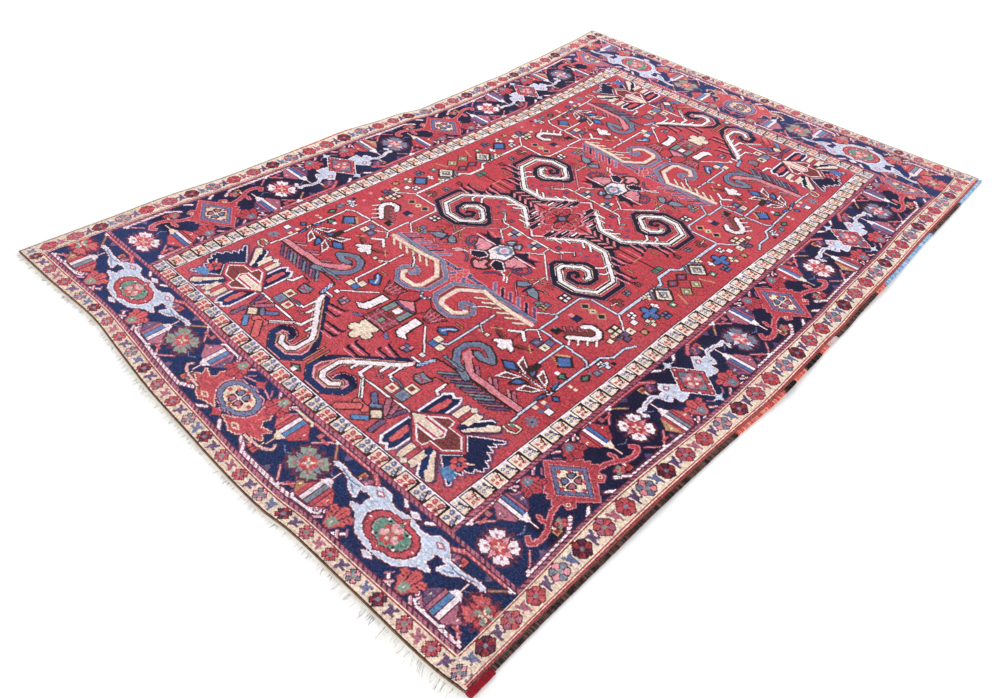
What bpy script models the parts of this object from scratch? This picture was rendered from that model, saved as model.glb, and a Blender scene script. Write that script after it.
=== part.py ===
"""A hand-knotted village carpet of the Persian kind, lying on a floor.

The pile and its foundation are one flat, slightly crooked body. A rolled selvedge is overcast
along each long side in runs of different yarn, and at each short end a narrow woven band holds
the warp ends, which stand out of it as a short worn fringe.

Metres, +Z up, +Y along the length. The origin is the middle of the underside.
"""

import math
import random
from bisect import bisect_right
from collections import namedtuple

import bmesh
import bpy

# The straight, uncrooked size of the pile, and the thickness of pile and foundation together
PILE_WIDTH = 2.10
PILE_LENGTH = 3.15
BODY_THICKNESS = 0.009
BODY_COLUMNS = 24
BODY_ROWS = 45
SEAM_GAP = 0.0006

# The overcast roll on each long side: its flattened section and how far apart two runs end
ROLL_HEIGHT = 0.0090
RIGHT_ROLL_WIDTH = 0.0160
LEFT_ROLL_WIDTH = 0.0095
ROLL_SIDES = 8
RUN_GAP = 0.0006

# The woven band at each short end, and the locks of warp that stand out of it
NEAR_BAND_DEPTH = 0.006
FAR_BAND_DEPTH = 0.013
BAND_THICKNESS = 0.0032
BAND_INSET = 0.004
NEAR_LOCKS = 150
FAR_LOCKS = 110
NEAR_LOCK_STEPS = 2
FAR_LOCK_STEPS = 1
LOCK_SHARE = (0.34, 0.52)
LOCK_TIP_WIDTH = 0.45
LOCK_TIP_THICKNESS = 0.55
LOCK_JITTER = math.radians(5)

MILLIMETRE = 0.001

# How far each long side strays from straight, in millimetres towards +X, at distances in metres
# from the near end
SideStation = namedtuple("SideStation", "along left right")
SIDES = (
    SideStation(0.00, -20, -20),
    SideStation(0.27, -14, -20),
    SideStation(0.53, -4, -15),
    SideStation(0.79, 8, -10),
    SideStation(1.05, 9, 0),
    SideStation(1.29, 14, 16),
    SideStation(1.49, 38, 14),
    SideStation(1.64, 36, 11),
    SideStation(1.74, 60, 13),
    SideStation(1.88, 55, 8),
    SideStation(2.11, 56, 7),
    SideStation(2.28, 50, 3),
    SideStation(2.47, 26, -3),
    SideStation(2.72, 12, -6),
    SideStation(2.92, -12, -9),
    SideStation(3.15, -44, -14),
)

# How far each short end strays from straight, in millimetres towards +Y, at distances in metres
# from the left side
EndStation = namedtuple("EndStation", "across near far")
ENDS = (
    EndStation(0.00, -2, 0),
    EndStation(0.20, 3, 2),
    EndStation(0.45, 16, 2),
    EndStation(0.64, 0, -2),
    EndStation(0.84, -17, 5),
    EndStation(1.04, -24, 10),
    EndStation(1.23, -30, 8),
    EndStation(1.40, -28, 11),
    EndStation(1.50, -16, 13),
    EndStation(1.73, -10, 22),
    EndStation(1.97, -5, 36),
    EndStation(2.10, 8, 42),
)

# Soft ripples that lift a long side off the floor: side is -1 on the left, along and half_length
# in metres from the near end, reach is how far in from the side the lift dies out
Ripple = namedtuple("Ripple", "side along half_length reach height")
RIPPLES = (
    Ripple(-1, 0.52, 0.24, 0.30, 0.005),
    Ripple(-1, 1.42, 0.26, 0.42, 0.010),
    Ripple(-1, 2.16, 0.24, 0.34, 0.007),
    Ripple(-1, 2.78, 0.20, 0.26, 0.005),
    Ripple(1, 0.66, 0.26, 0.30, 0.005),
    Ripple(1, 1.36, 0.24, 0.36, 0.008),
    Ripple(1, 2.06, 0.26, 0.32, 0.007),
)

# Runs of yarn along each selvedge, from the near end: where each stops, and its swell
Run = namedtuple("Run", "name stop yarn swell")
RIGHT_RUNS = (
    Run("selvedge_right_knot", 0.080, "red_yarn", 1.35),
    Run("selvedge_right_brown_near", 1.070, "brown_yarn", 1.0),
    Run("selvedge_right_coral_near", 1.320, "coral_yarn", 0.95),
    Run("selvedge_right_black_near", 1.385, "black_yarn", 1.05),
    Run("selvedge_right_coral_short", 1.460, "coral_yarn", 0.95),
    Run("selvedge_right_black_mid", 1.570, "black_yarn", 1.05),
    Run("selvedge_right_coral_mid", 1.625, "coral_yarn", 1.0),
    Run("selvedge_right_pale_mid", 1.685, "pale_blue_yarn", 1.1),
    Run("selvedge_right_brown_mid", 2.010, "brown_yarn", 1.0),
    Run("selvedge_right_coral_far", 2.080, "coral_yarn", 1.0),
    Run("selvedge_right_blue_mid", 2.555, "light_blue_yarn", 1.0),
    Run("selvedge_right_brown_far", 2.880, "brown_yarn", 1.05),
    Run("selvedge_right_blue_far", 3.150, "light_blue_yarn", 1.0),
)
LEFT_RUNS = (
    Run("selvedge_left_grey_near", 1.075, "grey_brown_yarn", 1.0),
    Run("selvedge_left_coral", 1.380, "coral_yarn", 1.1),
    Run("selvedge_left_grey_far", 3.150, "grey_brown_yarn", 1.0),
)

# Fringe length along each end, by distance from the left side, in millimetres, and its slant
FringeStation = namedtuple("FringeStation", "across near far near_slant far_slant")
FRINGE = (
    FringeStation(0.00, 20, 10, -10, 4),
    FringeStation(0.25, 12, 14, -4, 8),
    FringeStation(0.50, 15, 8, 6, -4),
    FringeStation(0.80, 19, 13, 10, 3),
    FringeStation(1.20, 15, 9, 4, -6),
    FringeStation(1.60, 20, 14, 8, 5),
    FringeStation(1.85, 31, 11, 14, 2),
    FringeStation(2.10, 36, 16, 18, 8),
)

# Colour, roughness and metallic value of each material
Finish = namedtuple("Finish", "colour roughness")
FINISHES = {
    "wool_pile": Finish((0.48, 0.035, 0.045), 0.92),
    "warp_cotton": Finish((0.70, 0.61, 0.44), 0.95),
    "red_yarn": Finish((0.42, 0.020, 0.022), 0.88),
    "coral_yarn": Finish((0.55, 0.075, 0.055), 0.90),
    "brown_yarn": Finish((0.045, 0.030, 0.026), 0.90),
    "black_yarn": Finish((0.012, 0.011, 0.012), 0.90),
    "light_blue_yarn": Finish((0.27, 0.43, 0.62), 0.90),
    "pale_blue_yarn": Finish((0.62, 0.68, 0.72), 0.92),
    "grey_brown_yarn": Finish((0.33, 0.27, 0.24), 0.92),
}


def clear_scene():
    for thing in list(bpy.data.objects):
        bpy.data.objects.remove(thing, do_unlink=True)


def new_collection(name):
    collection = bpy.data.collections.new(name)
    bpy.context.scene.collection.children.link(collection)
    return collection


def make_materials():
    made = {}
    for name, finish in FINISHES.items():
        material = bpy.data.materials.new(name)
        material.use_nodes = True
        shader = material.node_tree.nodes["Principled BSDF"]
        shader.inputs["Base Color"].default_value = (*finish.colour, 1.0)
        shader.inputs["Roughness"].default_value = finish.roughness
        shader.inputs["Metallic"].default_value = 0.0
        made[name] = material
    return made


def on_curve(stations, place, value, s):
    """The value at s on a smooth curve through one column of a table of stations."""
    places = [getattr(station, place) for station in stations]
    values = [getattr(station, value) for station in stations]
    last = len(places) - 1
    k = min(max(bisect_right(places, s) - 1, 0), last - 1)

    def slope(i):
        before, after = max(i - 1, 0), min(i + 1, last)
        return (values[after] - values[before]) / (places[after] - places[before])

    step = places[k + 1] - places[k]
    t = min(max((s - places[k]) / step, 0.0), 1.0)
    return (
        values[k] * (1 + 2 * t) * (1 - t) ** 2
        + values[k + 1] * t * t * (3 - 2 * t)
        + slope(k) * step * t * (1 - t) ** 2
        - slope(k + 1) * step * t * t * (1 - t)
    )


def bump(distance, reach):
    """1 at no distance, falling smoothly to nothing at reach."""
    if abs(distance) >= reach:
        return 0.0
    return 0.5 + 0.5 * math.cos(math.pi * distance / reach)


def lift(across, along):
    """How high the underside is off the floor, at straight distances from the left and near edges."""
    height = 0.0
    for ripple in RIPPLES:
        inward = across if ripple.side < 0 else PILE_WIDTH - across
        height += ripple.height * bump(along - ripple.along, ripple.half_length) * bump(inward, ripple.reach)
    return height


def underside(u, v):
    """A point of the underside, at shares u of the width and v of the length."""
    across, along = u * PILE_WIDTH, v * PILE_LENGTH
    left = on_curve(SIDES, "along", "left", along)
    right = on_curve(SIDES, "along", "right", along)
    near = on_curve(ENDS, "across", "near", across)
    far = on_curve(ENDS, "across", "far", across)
    return (
        across - PILE_WIDTH / 2 + (left + (right - left) * u) * MILLIMETRE,
        along - PILE_LENGTH / 2 + (near + (far - near) * v) * MILLIMETRE,
        lift(across, along),
    )


def on_edge(fixed_u, fixed_v, count, share):
    """A point of the body's straight-sided rim: u or v is fixed, and the other runs over count cells."""

    def rim(k):
        return underside(fixed_u, k / count) if fixed_v is None else underside(k / count, fixed_v)

    cell = min(int(share * count), count - 1)
    t = share * count - cell
    return tuple(a + (b - a) * t for a, b in zip(rim(cell), rim(cell + 1)))


def make_body(collection, material):
    bpy.ops.mesh.primitive_grid_add(x_subdivisions=BODY_COLUMNS, y_subdivisions=BODY_ROWS, size=1)
    body = bpy.context.object
    body.name = "rug"
    body.data.name = "rug"
    for vertex in body.data.vertices:
        vertex.co = underside(vertex.co.x + 0.5, vertex.co.y + 0.5)
    body.data.materials.append(material)
    solid = body.modifiers.new("pile_and_foundation", "SOLIDIFY")
    solid.thickness = BODY_THICKNESS
    solid.offset = 1
    for holder in list(body.users_collection):
        holder.objects.unlink(body)
    collection.objects.link(body)
    return body


def make_roll_section(guides, name, width):
    """The flattened oval that a selvedge roll has across it."""
    data = bpy.data.curves.new(name, "CURVE")
    data.dimensions = "2D"
    spline = data.splines.new("POLY")
    spline.points.add(ROLL_SIDES - 1)
    for k, point in enumerate(spline.points):
        turn = -2 * math.pi * (k + 0.5) / ROLL_SIDES
        point.co = (width / 2 * math.cos(turn), ROLL_HEIGHT / 2 * math.sin(turn), 0, 1)
    spline.use_cyclic_u = True
    section = bpy.data.objects.new(name, data)
    section.hide_render = True
    section.display_type = "WIRE"
    guides.objects.link(section)
    return section


def make_selvedge(collection, guides, materials, side, width, runs):
    """One overcast roll along a long side, each run of yarn its own piece."""
    section = make_roll_section(guides, "roll_section_left" if side < 0 else "roll_section_right", width)
    start = 0.0
    for run in runs:
        first, last = start / PILE_LENGTH, (run.stop - RUN_GAP) / PILE_LENGTH
        inner = [k / BODY_ROWS for k in range(BODY_ROWS + 1) if first + 0.004 < k / BODY_ROWS < last - 0.004]
        shares = [first, *inner, last]
        if len(shares) == 2:
            shares.insert(1, (first + last) / 2)
        data = bpy.data.curves.new(run.name, "CURVE")
        data.dimensions = "3D"
        data.bevel_mode = "OBJECT"
        data.bevel_object = section
        data.use_fill_caps = True
        data.twist_mode = "Z_UP"
        spline = data.splines.new("POLY")
        spline.points.add(len(shares) - 1)
        for k, (point, share) in enumerate(zip(spline.points, shares)):
            swell = run.swell if 0 < k < len(shares) - 1 else 1.0
            x, y, z = on_edge(0.0 if side < 0 else 1.0, None, BODY_ROWS, share)
            out = side * (width / 2 * swell + SEAM_GAP)
            point.co = (x + out, y, z + ROLL_HEIGHT / 2 * swell, 1)
            point.radius = swell
        roll = bpy.data.objects.new(run.name, data)
        data.materials.append(materials[run.yarn])
        collection.objects.link(roll)
        start = run.stop


def make_end(collection, material, name, end, band_depth, locks, steps, seed):
    """The woven band at a short end with its warp ends: every second stretch of its rim grows a lock."""
    rng = random.Random(seed)
    column = "near" if end < 0 else "far"
    usable = PILE_WIDTH - 2 * BAND_INSET
    pitch = usable / locks
    cuts = [0.0]
    for k in range(locks):
        width = pitch * rng.uniform(*LOCK_SHARE)
        before = (pitch - width) * rng.uniform(0.35, 0.65)
        cuts += [k * pitch + before, k * pitch + before + width]
    cuts.append(usable)

    mesh = bmesh.new()
    stretches = len(cuts) - 1
    bmesh.ops.create_grid(mesh, x_segments=stretches, y_segments=1, size=0.5)
    for vertex in mesh.verts:
        across = BAND_INSET + cuts[round((vertex.co.x + 0.5) * stretches)]
        outer = (vertex.co.y > 0) == (end > 0)
        x, y, z = on_edge(None, 0.0 if end < 0 else 1.0, BODY_COLUMNS, across / PILE_WIDTH)
        ragged = 1 + 0.12 * math.sin(across * 19) + 0.08 * math.sin(across * 47)
        vertex.co = (x, y + end * (SEAM_GAP + (band_depth * ragged if outer else 0.0)), z)
    grown = bmesh.ops.extrude_face_region(mesh, geom=mesh.faces[:], use_keep_orig=True)
    for item in grown["geom"]:
        if isinstance(item, bmesh.types.BMVert):
            item.co.z += BAND_THICKNESS
    bmesh.ops.recalc_face_normals(mesh, faces=mesh.faces[:])

    rim = sorted((f for f in mesh.faces if f.normal.y * end > 0.7), key=lambda f: f.calc_center_median().x)
    for root in rim[1::2]:
        centre = root.calc_center_median()
        across = centre.x + PILE_WIDTH / 2
        length = on_curve(FRINGE, "across", column, across) * MILLIMETRE * rng.uniform(0.65, 1.25)
        slant = math.radians(on_curve(FRINGE, "across", column + "_slant", across))
        slant += rng.uniform(-LOCK_JITTER, LOCK_JITTER)
        face = root
        rest = None
        for step in range(1, steps + 1):
            t = step / steps
            face = bmesh.ops.extrude_discrete_faces(mesh, faces=[face])["faces"][0]
            if rest is None:
                rest = [vertex.co.copy() for vertex in face.verts]
            for vertex, start in zip(face.verts, rest):
                thin = 1 + (LOCK_TIP_WIDTH - 1) * t
                flat = 1 + (LOCK_TIP_THICKNESS - 1) * t
                vertex.co.x = centre.x + (start.x - centre.x) * thin + math.sin(slant) * length * t
                vertex.co.y = start.y + end * math.cos(slant) * length * t
                vertex.co.z = start.z * flat
    data = bpy.data.meshes.new(name)
    mesh.to_mesh(data)
    mesh.free()
    data.materials.append(material)
    collection.objects.link(bpy.data.objects.new(name, data))


clear_scene()
carpet = new_collection("persian_rug")
guides = new_collection("guides")
materials = make_materials()

make_body(carpet, materials["wool_pile"])
make_selvedge(carpet, guides, materials, -1, LEFT_ROLL_WIDTH, LEFT_RUNS)
make_selvedge(carpet, guides, materials, 1, RIGHT_ROLL_WIDTH, RIGHT_RUNS)
make_end(carpet, materials["warp_cotton"], "end_near", -1, NEAR_BAND_DEPTH, NEAR_LOCKS, NEAR_LOCK_STEPS, 11)
make_end(carpet, materials["warp_cotton"], "end_far", 1, FAR_BAND_DEPTH, FAR_LOCKS, FAR_LOCK_STEPS, 23)
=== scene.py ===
"""Looks of a hand-knotted village carpet of the Persian kind, lying on a floor.

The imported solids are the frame. The pile, its foundation, the overcast selvedges and the warp fringe are
made again here with their yarns. Metres, +Z up, +Y along the carpet's length.
"""

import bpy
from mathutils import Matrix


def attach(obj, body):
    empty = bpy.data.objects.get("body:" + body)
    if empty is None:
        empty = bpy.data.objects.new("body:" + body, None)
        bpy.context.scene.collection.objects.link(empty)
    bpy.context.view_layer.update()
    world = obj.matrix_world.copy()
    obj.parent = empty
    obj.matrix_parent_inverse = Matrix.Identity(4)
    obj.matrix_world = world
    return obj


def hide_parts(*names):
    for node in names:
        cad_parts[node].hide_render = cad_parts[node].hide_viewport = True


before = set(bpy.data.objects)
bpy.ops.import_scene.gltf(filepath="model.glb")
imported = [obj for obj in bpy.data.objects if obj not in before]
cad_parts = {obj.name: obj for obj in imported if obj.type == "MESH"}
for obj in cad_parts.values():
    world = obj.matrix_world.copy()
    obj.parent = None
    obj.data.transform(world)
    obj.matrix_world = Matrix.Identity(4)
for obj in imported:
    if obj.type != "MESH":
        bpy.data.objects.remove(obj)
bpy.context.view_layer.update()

import math

import bpy
import numpy as np
from mathutils import Matrix, Vector

# ---------------------------------------------------------------------------------------------
# Pile: short clipped wool, one knot to each square of the chart below, 600 knots across and 900
# along. It lies over the foundation on soft ripples, with the crooked sides and borders of a
# carpet whose loom tension wandered. Each knot's yarn is kept on the face that carries it.

KNOT = 0.0035
COLUMNS, ROWS = 600, 900
# Each face carries this many knots. The yarns of a row of them are the digits of one number, to a
# base above every yarn's own number.
FACE_COLUMNS, FACE_ROWS = 4, 3
BASE = 32.0
PILE_Z = (0.0034, 0.0090)

# The straight lines of the chart, and how far the carpet has drawn each of them aside, in mm
ALONG = (0, 0.27, 0.53, 0.79, 1.05, 1.29, 1.49, 1.64, 1.74, 1.88, 2.11, 2.28, 2.47, 2.72, 2.92, 3.15)
SIDE_LINES = {
    0: (-20, -14, -4, 8, 9, 14, 38, 36, 60, 55, 56, 50, 26, 12, -12, -44),
    22: (-36, -27, -10, 2, 9, 23, 32, 27, 48, 52, 52, 38, 29, 10, -9, -24),
    95: (0, 0, -2, 11, 21, 25, 25, 24, 32, 32, 35, 23, 18, -1, -11, -15),
    115: (-4, -4, -3, 5, 16, 20, 24, 27, 29, 28, 31, 23, 11, 2, -5, -8),
    301: (-2, -6, -7, 3, 1, 8, 10, 13, 15, 16, 18, 17, 12, 8, -8, -16),
    488: (0, 0, 5, 8, 11, 6, 8, 8, 6, 8, 11, 1, -4, -18, -22, -24),
    507: (-3, -2, -1, 0, 3, 6, 4, 6, 6, 3, 2, -4, -10, -18, -22, -24),
    576: (-2, -6, -17, -9, 9, 14, 15, 14, 15, 11, 10, 7, -2, -4, -3, -14),
    600: (-20, -20, -15, -10, 0, 16, 14, 11, 13, 8, 7, 3, -3, -6, -9, -14),
}
ACROSS = (0, 0.20, 0.45, 0.64, 0.84, 1.04, 1.23, 1.40, 1.50, 1.73, 1.97, 2.10)
END_LINES = {
    0: (-2, 3, 16, 0, -17, -24, -30, -28, -16, -10, -5, 8),
    15: (0, 4, 12, 0, -16, -24, -32, -30, -19, -12, -2, 5),
    77: (3, 3, 3, 0, -9, -12, -12, -8, -7, -5, -3, -3),
    93: (-3, -3, -3, -4, -8, -11, -12, -9, -8, -5, -4, -4),
    791: (0, 0, 0, 2, 3, 6, 8, 12, 18, 27, 30, 30),
    810: (10, 8, 0, -5, -5, -2, 5, 10, 13, 20, 28, 32),
    884: (6, 4, 0, -3, -2, 0, 1, 6, 13, 20, 23, 24),
    900: (0, 2, 2, -2, 5, 10, 8, 11, 13, 22, 36, 42),
}

# Ripples off the floor: side, middle along, half length, reach inwards and height, in metres
RIPPLES = (
    (-1, 0.52, 0.24, 0.30, 0.005),
    (-1, 1.42, 0.26, 0.42, 0.010),
    (-1, 2.16, 0.24, 0.34, 0.007),
    (-1, 2.78, 0.20, 0.26, 0.005),
    (1, 0.66, 0.26, 0.30, 0.005),
    (1, 1.36, 0.24, 0.36, 0.008),
    (1, 2.06, 0.26, 0.32, 0.007),
)


def on_curve(places, values, at):
    """A smooth curve through the values, read at each place asked for."""
    places, values = np.asarray(places, float), np.asarray(values, float)
    last = len(places) - 1
    before, after = np.maximum(np.arange(last + 1) - 1, 0), np.minimum(np.arange(last + 1) + 1, last)
    slopes = (values[after] - values[before]) / (places[after] - places[before])
    k = np.clip(np.searchsorted(places, at, "right") - 1, 0, last - 1)
    step = places[k + 1] - places[k]
    t = np.clip((at - places[k]) / step, 0, 1)
    return (
        values[k] * (1 + 2 * t) * (1 - t) ** 2
        + values[k + 1] * t * t * (3 - 2 * t)
        + slopes[k] * step * t * (1 - t) ** 2
        - slopes[k + 1] * step * t * t * (1 - t)
    )


def drawn(lines, stations, line_at, curve_at):
    """How far a point is drawn aside, between the two lines it lies between."""
    keys = np.array(list(lines), float)
    offsets = np.array([on_curve(stations, lines[key], curve_at) for key in lines])
    k = np.clip(np.searchsorted(keys, line_at, "right") - 1, 0, len(keys) - 2)
    t = (line_at - keys[k]) / (keys[k + 1] - keys[k])
    n = np.arange(len(line_at))
    return ((1 - t) * offsets[k, n] + t * offsets[k + 1, n]) / 1000


def lift(across, along):
    """How high the underside is off the floor."""
    height = np.zeros(len(across))
    for side, middle, half, reach, high in RIPPLES:
        inward = across if side < 0 else COLUMNS * KNOT - across
        a = np.clip(abs(along - middle) / half, 0, 1)
        b = np.clip(inward / reach, 0, 1)
        height += high * (0.5 + 0.5 * np.cos(np.pi * a)) * (0.5 + 0.5 * np.cos(np.pi * b))
    return height


def on_carpet(column, row):
    """Points of the underside at places of the chart, counted in knots."""
    column, row = np.broadcast_arrays(np.asarray(column, float), np.asarray(row, float))
    shape, column, row = column.shape, column.ravel(), row.ravel()
    across, along = column * KNOT, row * KNOT
    x = across - COLUMNS * KNOT / 2 + drawn(SIDE_LINES, ALONG, column, along)
    y = along - ROWS * KNOT / 2 + drawn(END_LINES, ACROSS, row, across)
    return np.stack([x, y, lift(across, along)], -1).reshape(*shape, 3)


# The dyes, each in the two baths that its yarn came from
YARNS = {
    "red": ("#b8323f", "#c74b55"),
    "crimson": ("#9c2234", "#ac3444"),
    "coral": ("#c9424a", "#d55f60"),
    "brick": ("#78302f", "#8a4240"),
    "maroon": ("#561e38", "#6a304c"),
    "navy": ("#0d0b34", "#192f60"),
    "midnight": ("#100a26", "#1a1438"),
    "blue": ("#3868ac", "#5288bc"),
    "sky": ("#c8cce2", "#c0cae0"),
    "slate": ("#5c6494", "#747ca2"),
    "steel": ("#6a7890", "#828c9c"),
    "ivory": ("#f2e4ea", "#ecdae2"),
    "cream": ("#e6d2be", "#e0c8b4"),
    "tan": ("#c4966a", "#b4845e"),
    "pink": ("#d67e8a", "#e098a4"),
    "rose": ("#aa566e", "#b86c82"),
    "mauve": ("#5c3c70", "#745880"),
    "brown": ("#301a1c", "#44282c"),
    "black": ("#140e14", "#241a22"),
    "green": ("#407a68", "#588e7e"),
    "sage": ("#7a8e82", "#8e9a8c"),
}
YARN = {name: k for k, name in enumerate(YARNS)}
# A knot that a motif leaves as it was
BARE = 255
# How many knots each yarn of a twisted cord shows for before the next
TWIST = 1.6


class Motif:
    """A sheet of knots. Shapes are in the motif's own units, x to the right and y up from its origin.

    A motif folded in x or y shows each shape on both sides. Later shapes are tied over earlier ones.
    """

    def __init__(self, left, right, down, up, fold="", unit=(1, 1)):
        self.unit = unit
        self.fold = fold
        self.origin = round(left * unit[0]), round(down * unit[1])
        rows = round(down * unit[1]) + round(up * unit[1]) + 1
        columns = round(left * unit[0]) + round(right * unit[0]) + 1
        self.knots = np.full((rows, columns), BARE, np.uint8)
        y, x = np.mgrid[:rows, :columns].astype(float)
        x, y = x - self.origin[0], y - self.origin[1]
        self.x = abs(x) if "x" in fold else x
        self.y = abs(y) if "y" in fold else y

    def window(self, points, spare):
        """The part of the sheet round the points, and the points in knots."""
        points = [(x * self.unit[0], y * self.unit[1]) for x, y in points]
        if self.fold:
            return (slice(None), slice(None)), points
        low, high = np.min(points, 0) - spare, np.max(points, 0) + spare
        c0, c1 = (max(int(v + self.origin[0]), 0) for v in (low[0], high[0] + 2))
        r0, r1 = (max(int(v + self.origin[1]), 0) for v in (low[1], high[1] + 2))
        return (slice(r0, r1), slice(c0, c1)), points

    def area(self, yarn, *points):
        """Fills the outline through the points."""
        part, points = self.window(points, 1)
        x, y = self.x[part], self.y[part]
        inside = np.zeros(x.shape, bool)
        for (x0, y0), (x1, y1) in zip(points, points[1:] + points[:1]):
            if y0 != y1:
                inside ^= ((y0 > y) != (y1 > y)) & (x < (x1 - x0) * (y - y0) / (y1 - y0) + x0)
        self.knots[part][inside] = YARN[yarn]
        return self

    def line(self, yarns, width, *points):
        """A stripe that many knots wide. Several yarns take turns along it, slanting like a twisted cord."""
        yarns = yarns.split()
        part, points = self.window(points, width)
        x, y, knots = self.x[part], self.y[part], self.knots[part]
        turn = np.floor((x + y) / TWIST).astype(int) % len(yarns)
        for (x0, y0), (x1, y1) in zip(points, points[1:]):
            dx, dy = x1 - x0, y1 - y0
            t = np.clip(((x - x0) * dx + (y - y0) * dy) / max(dx * dx + dy * dy, 1e-9), 0, 1)
            on = np.hypot(x - x0 - t * dx, y - y0 - t * dy) < width / 2 + 0.02
            for k, yarn in enumerate(yarns):
                knots[on & (turn == k)] = YARN[yarn]
        return self

    def vine(self, yarn, width, *points, edge="brown"):
        """A stripe with a knot of another yarn along each side."""
        return self.line(edge, width + 1.8, *points).line(yarn, width * 0.88, *points)

    def spots(self, yarn, size, *points):
        """Square spots that many knots across."""
        for point in points:
            part, [(x, y)] = self.window([point], size)
            near = np.maximum(abs(self.x[part] - x), abs(self.y[part] - y)) < size / 2
            self.knots[part][near] = YARN[yarn]
        return self

    def box(self, x, y, size, *yarns):
        """A square within a square, as often as there are yarns, with a dark rim."""
        self.spots("brown", size + 2, (x, y))
        for k, yarn in enumerate(yarns):
            self.spots(yarn, size * (1 - k / len(yarns)), (x, y))
        return self

    def diamond(self, x, y, across, high, *yarns):
        """A diamond within a diamond."""
        for k, yarn in enumerate(yarns):
            a, h = (v * (1 - k / len(yarns)) / 2 for v in (across, high))
            self.area(yarn, (x - a, y), (x, y - h), (x + a, y), (x, y + h))
        return self

    def flower(self, x, y, count, near, far, wide, yarns, turn=0.0):
        """Petals round a point, from near to far off it, their yarns in turn."""
        yarns = yarns.split()
        third, last = near + (far - near) * 0.35, near + (far - near) * 0.84
        for k in range(count):
            c, s = math.cos(2 * math.pi * (k + turn) / count), math.sin(2 * math.pi * (k + turn) / count)
            petal = [(near, 0), (third, -wide / 2), (last, -wide / 2), (far, -wide / 5)]
            petal += [(a, -b) for a, b in petal[:0:-1]]
            self.area(yarns[k % len(yarns)], *[(x + a * c - b * s, y + a * s + b * c) for a, b in petal])
        return self

    def edge(self, *yarns):
        """A knot of each yarn in turn all round what is there so far."""
        for yarn in yarns:
            held = np.pad(self.knots != BARE, 1)
            grown = held[2:, 1:-1] | held[:-2, 1:-1] | held[1:-1, 2:] | held[1:-1, :-2]
            self.knots[grown & ~held[1:-1, 1:-1]] = YARN[yarn]
        return self

    def put(self, motif, x, y, turn=0, flip=False):
        """Ties another motif with its middle at (x, y), mirrored and then turned to the left by quarters."""
        knots = np.rot90(motif.knots[:, ::-1] if flip else motif.knots, -turn)
        rows, columns = knots.shape
        c = round(x * self.unit[0]) + self.origin[0] - columns // 2
        r = round(y * self.unit[1]) + self.origin[1] - rows // 2
        r0, c0 = max(r, 0), max(c, 0)
        r1, c1 = min(r + rows, self.knots.shape[0]), min(c + columns, self.knots.shape[1])
        if r1 > r0 and c1 > c0:
            piece = knots[r0 - r : r1 - r, c0 - c : c1 - c]
            self.knots[r0:r1, c0:c1][piece != BARE] = piece[piece != BARE]
        return self


# The border's repeats are longer on the ends of the carpet, with pointed ovals in their palmettes, and
# shorter on its sides, with diamonds there. A repeat is drawn in units of about a centimetre.


def ogee(across, high, shape):
    """A pointed oval on the ends of the carpet, a diamond on its sides."""
    if shape == "diamond":
        shares = (0, 1), (0.5, 0.5), (1, 0), (0.5, -0.5), (0, -1)
    else:
        shares = (
            (0, 1.1), (0.14, 0.86), (0.6, 0.8), (0.9, 0.45), (1, 0.0),
            (0.88, -0.45), (0.58, -0.8), (0.2, -0.9), (0, -1.08),
        )
    return [(across * x, high * y) for x, y in shares]


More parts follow.
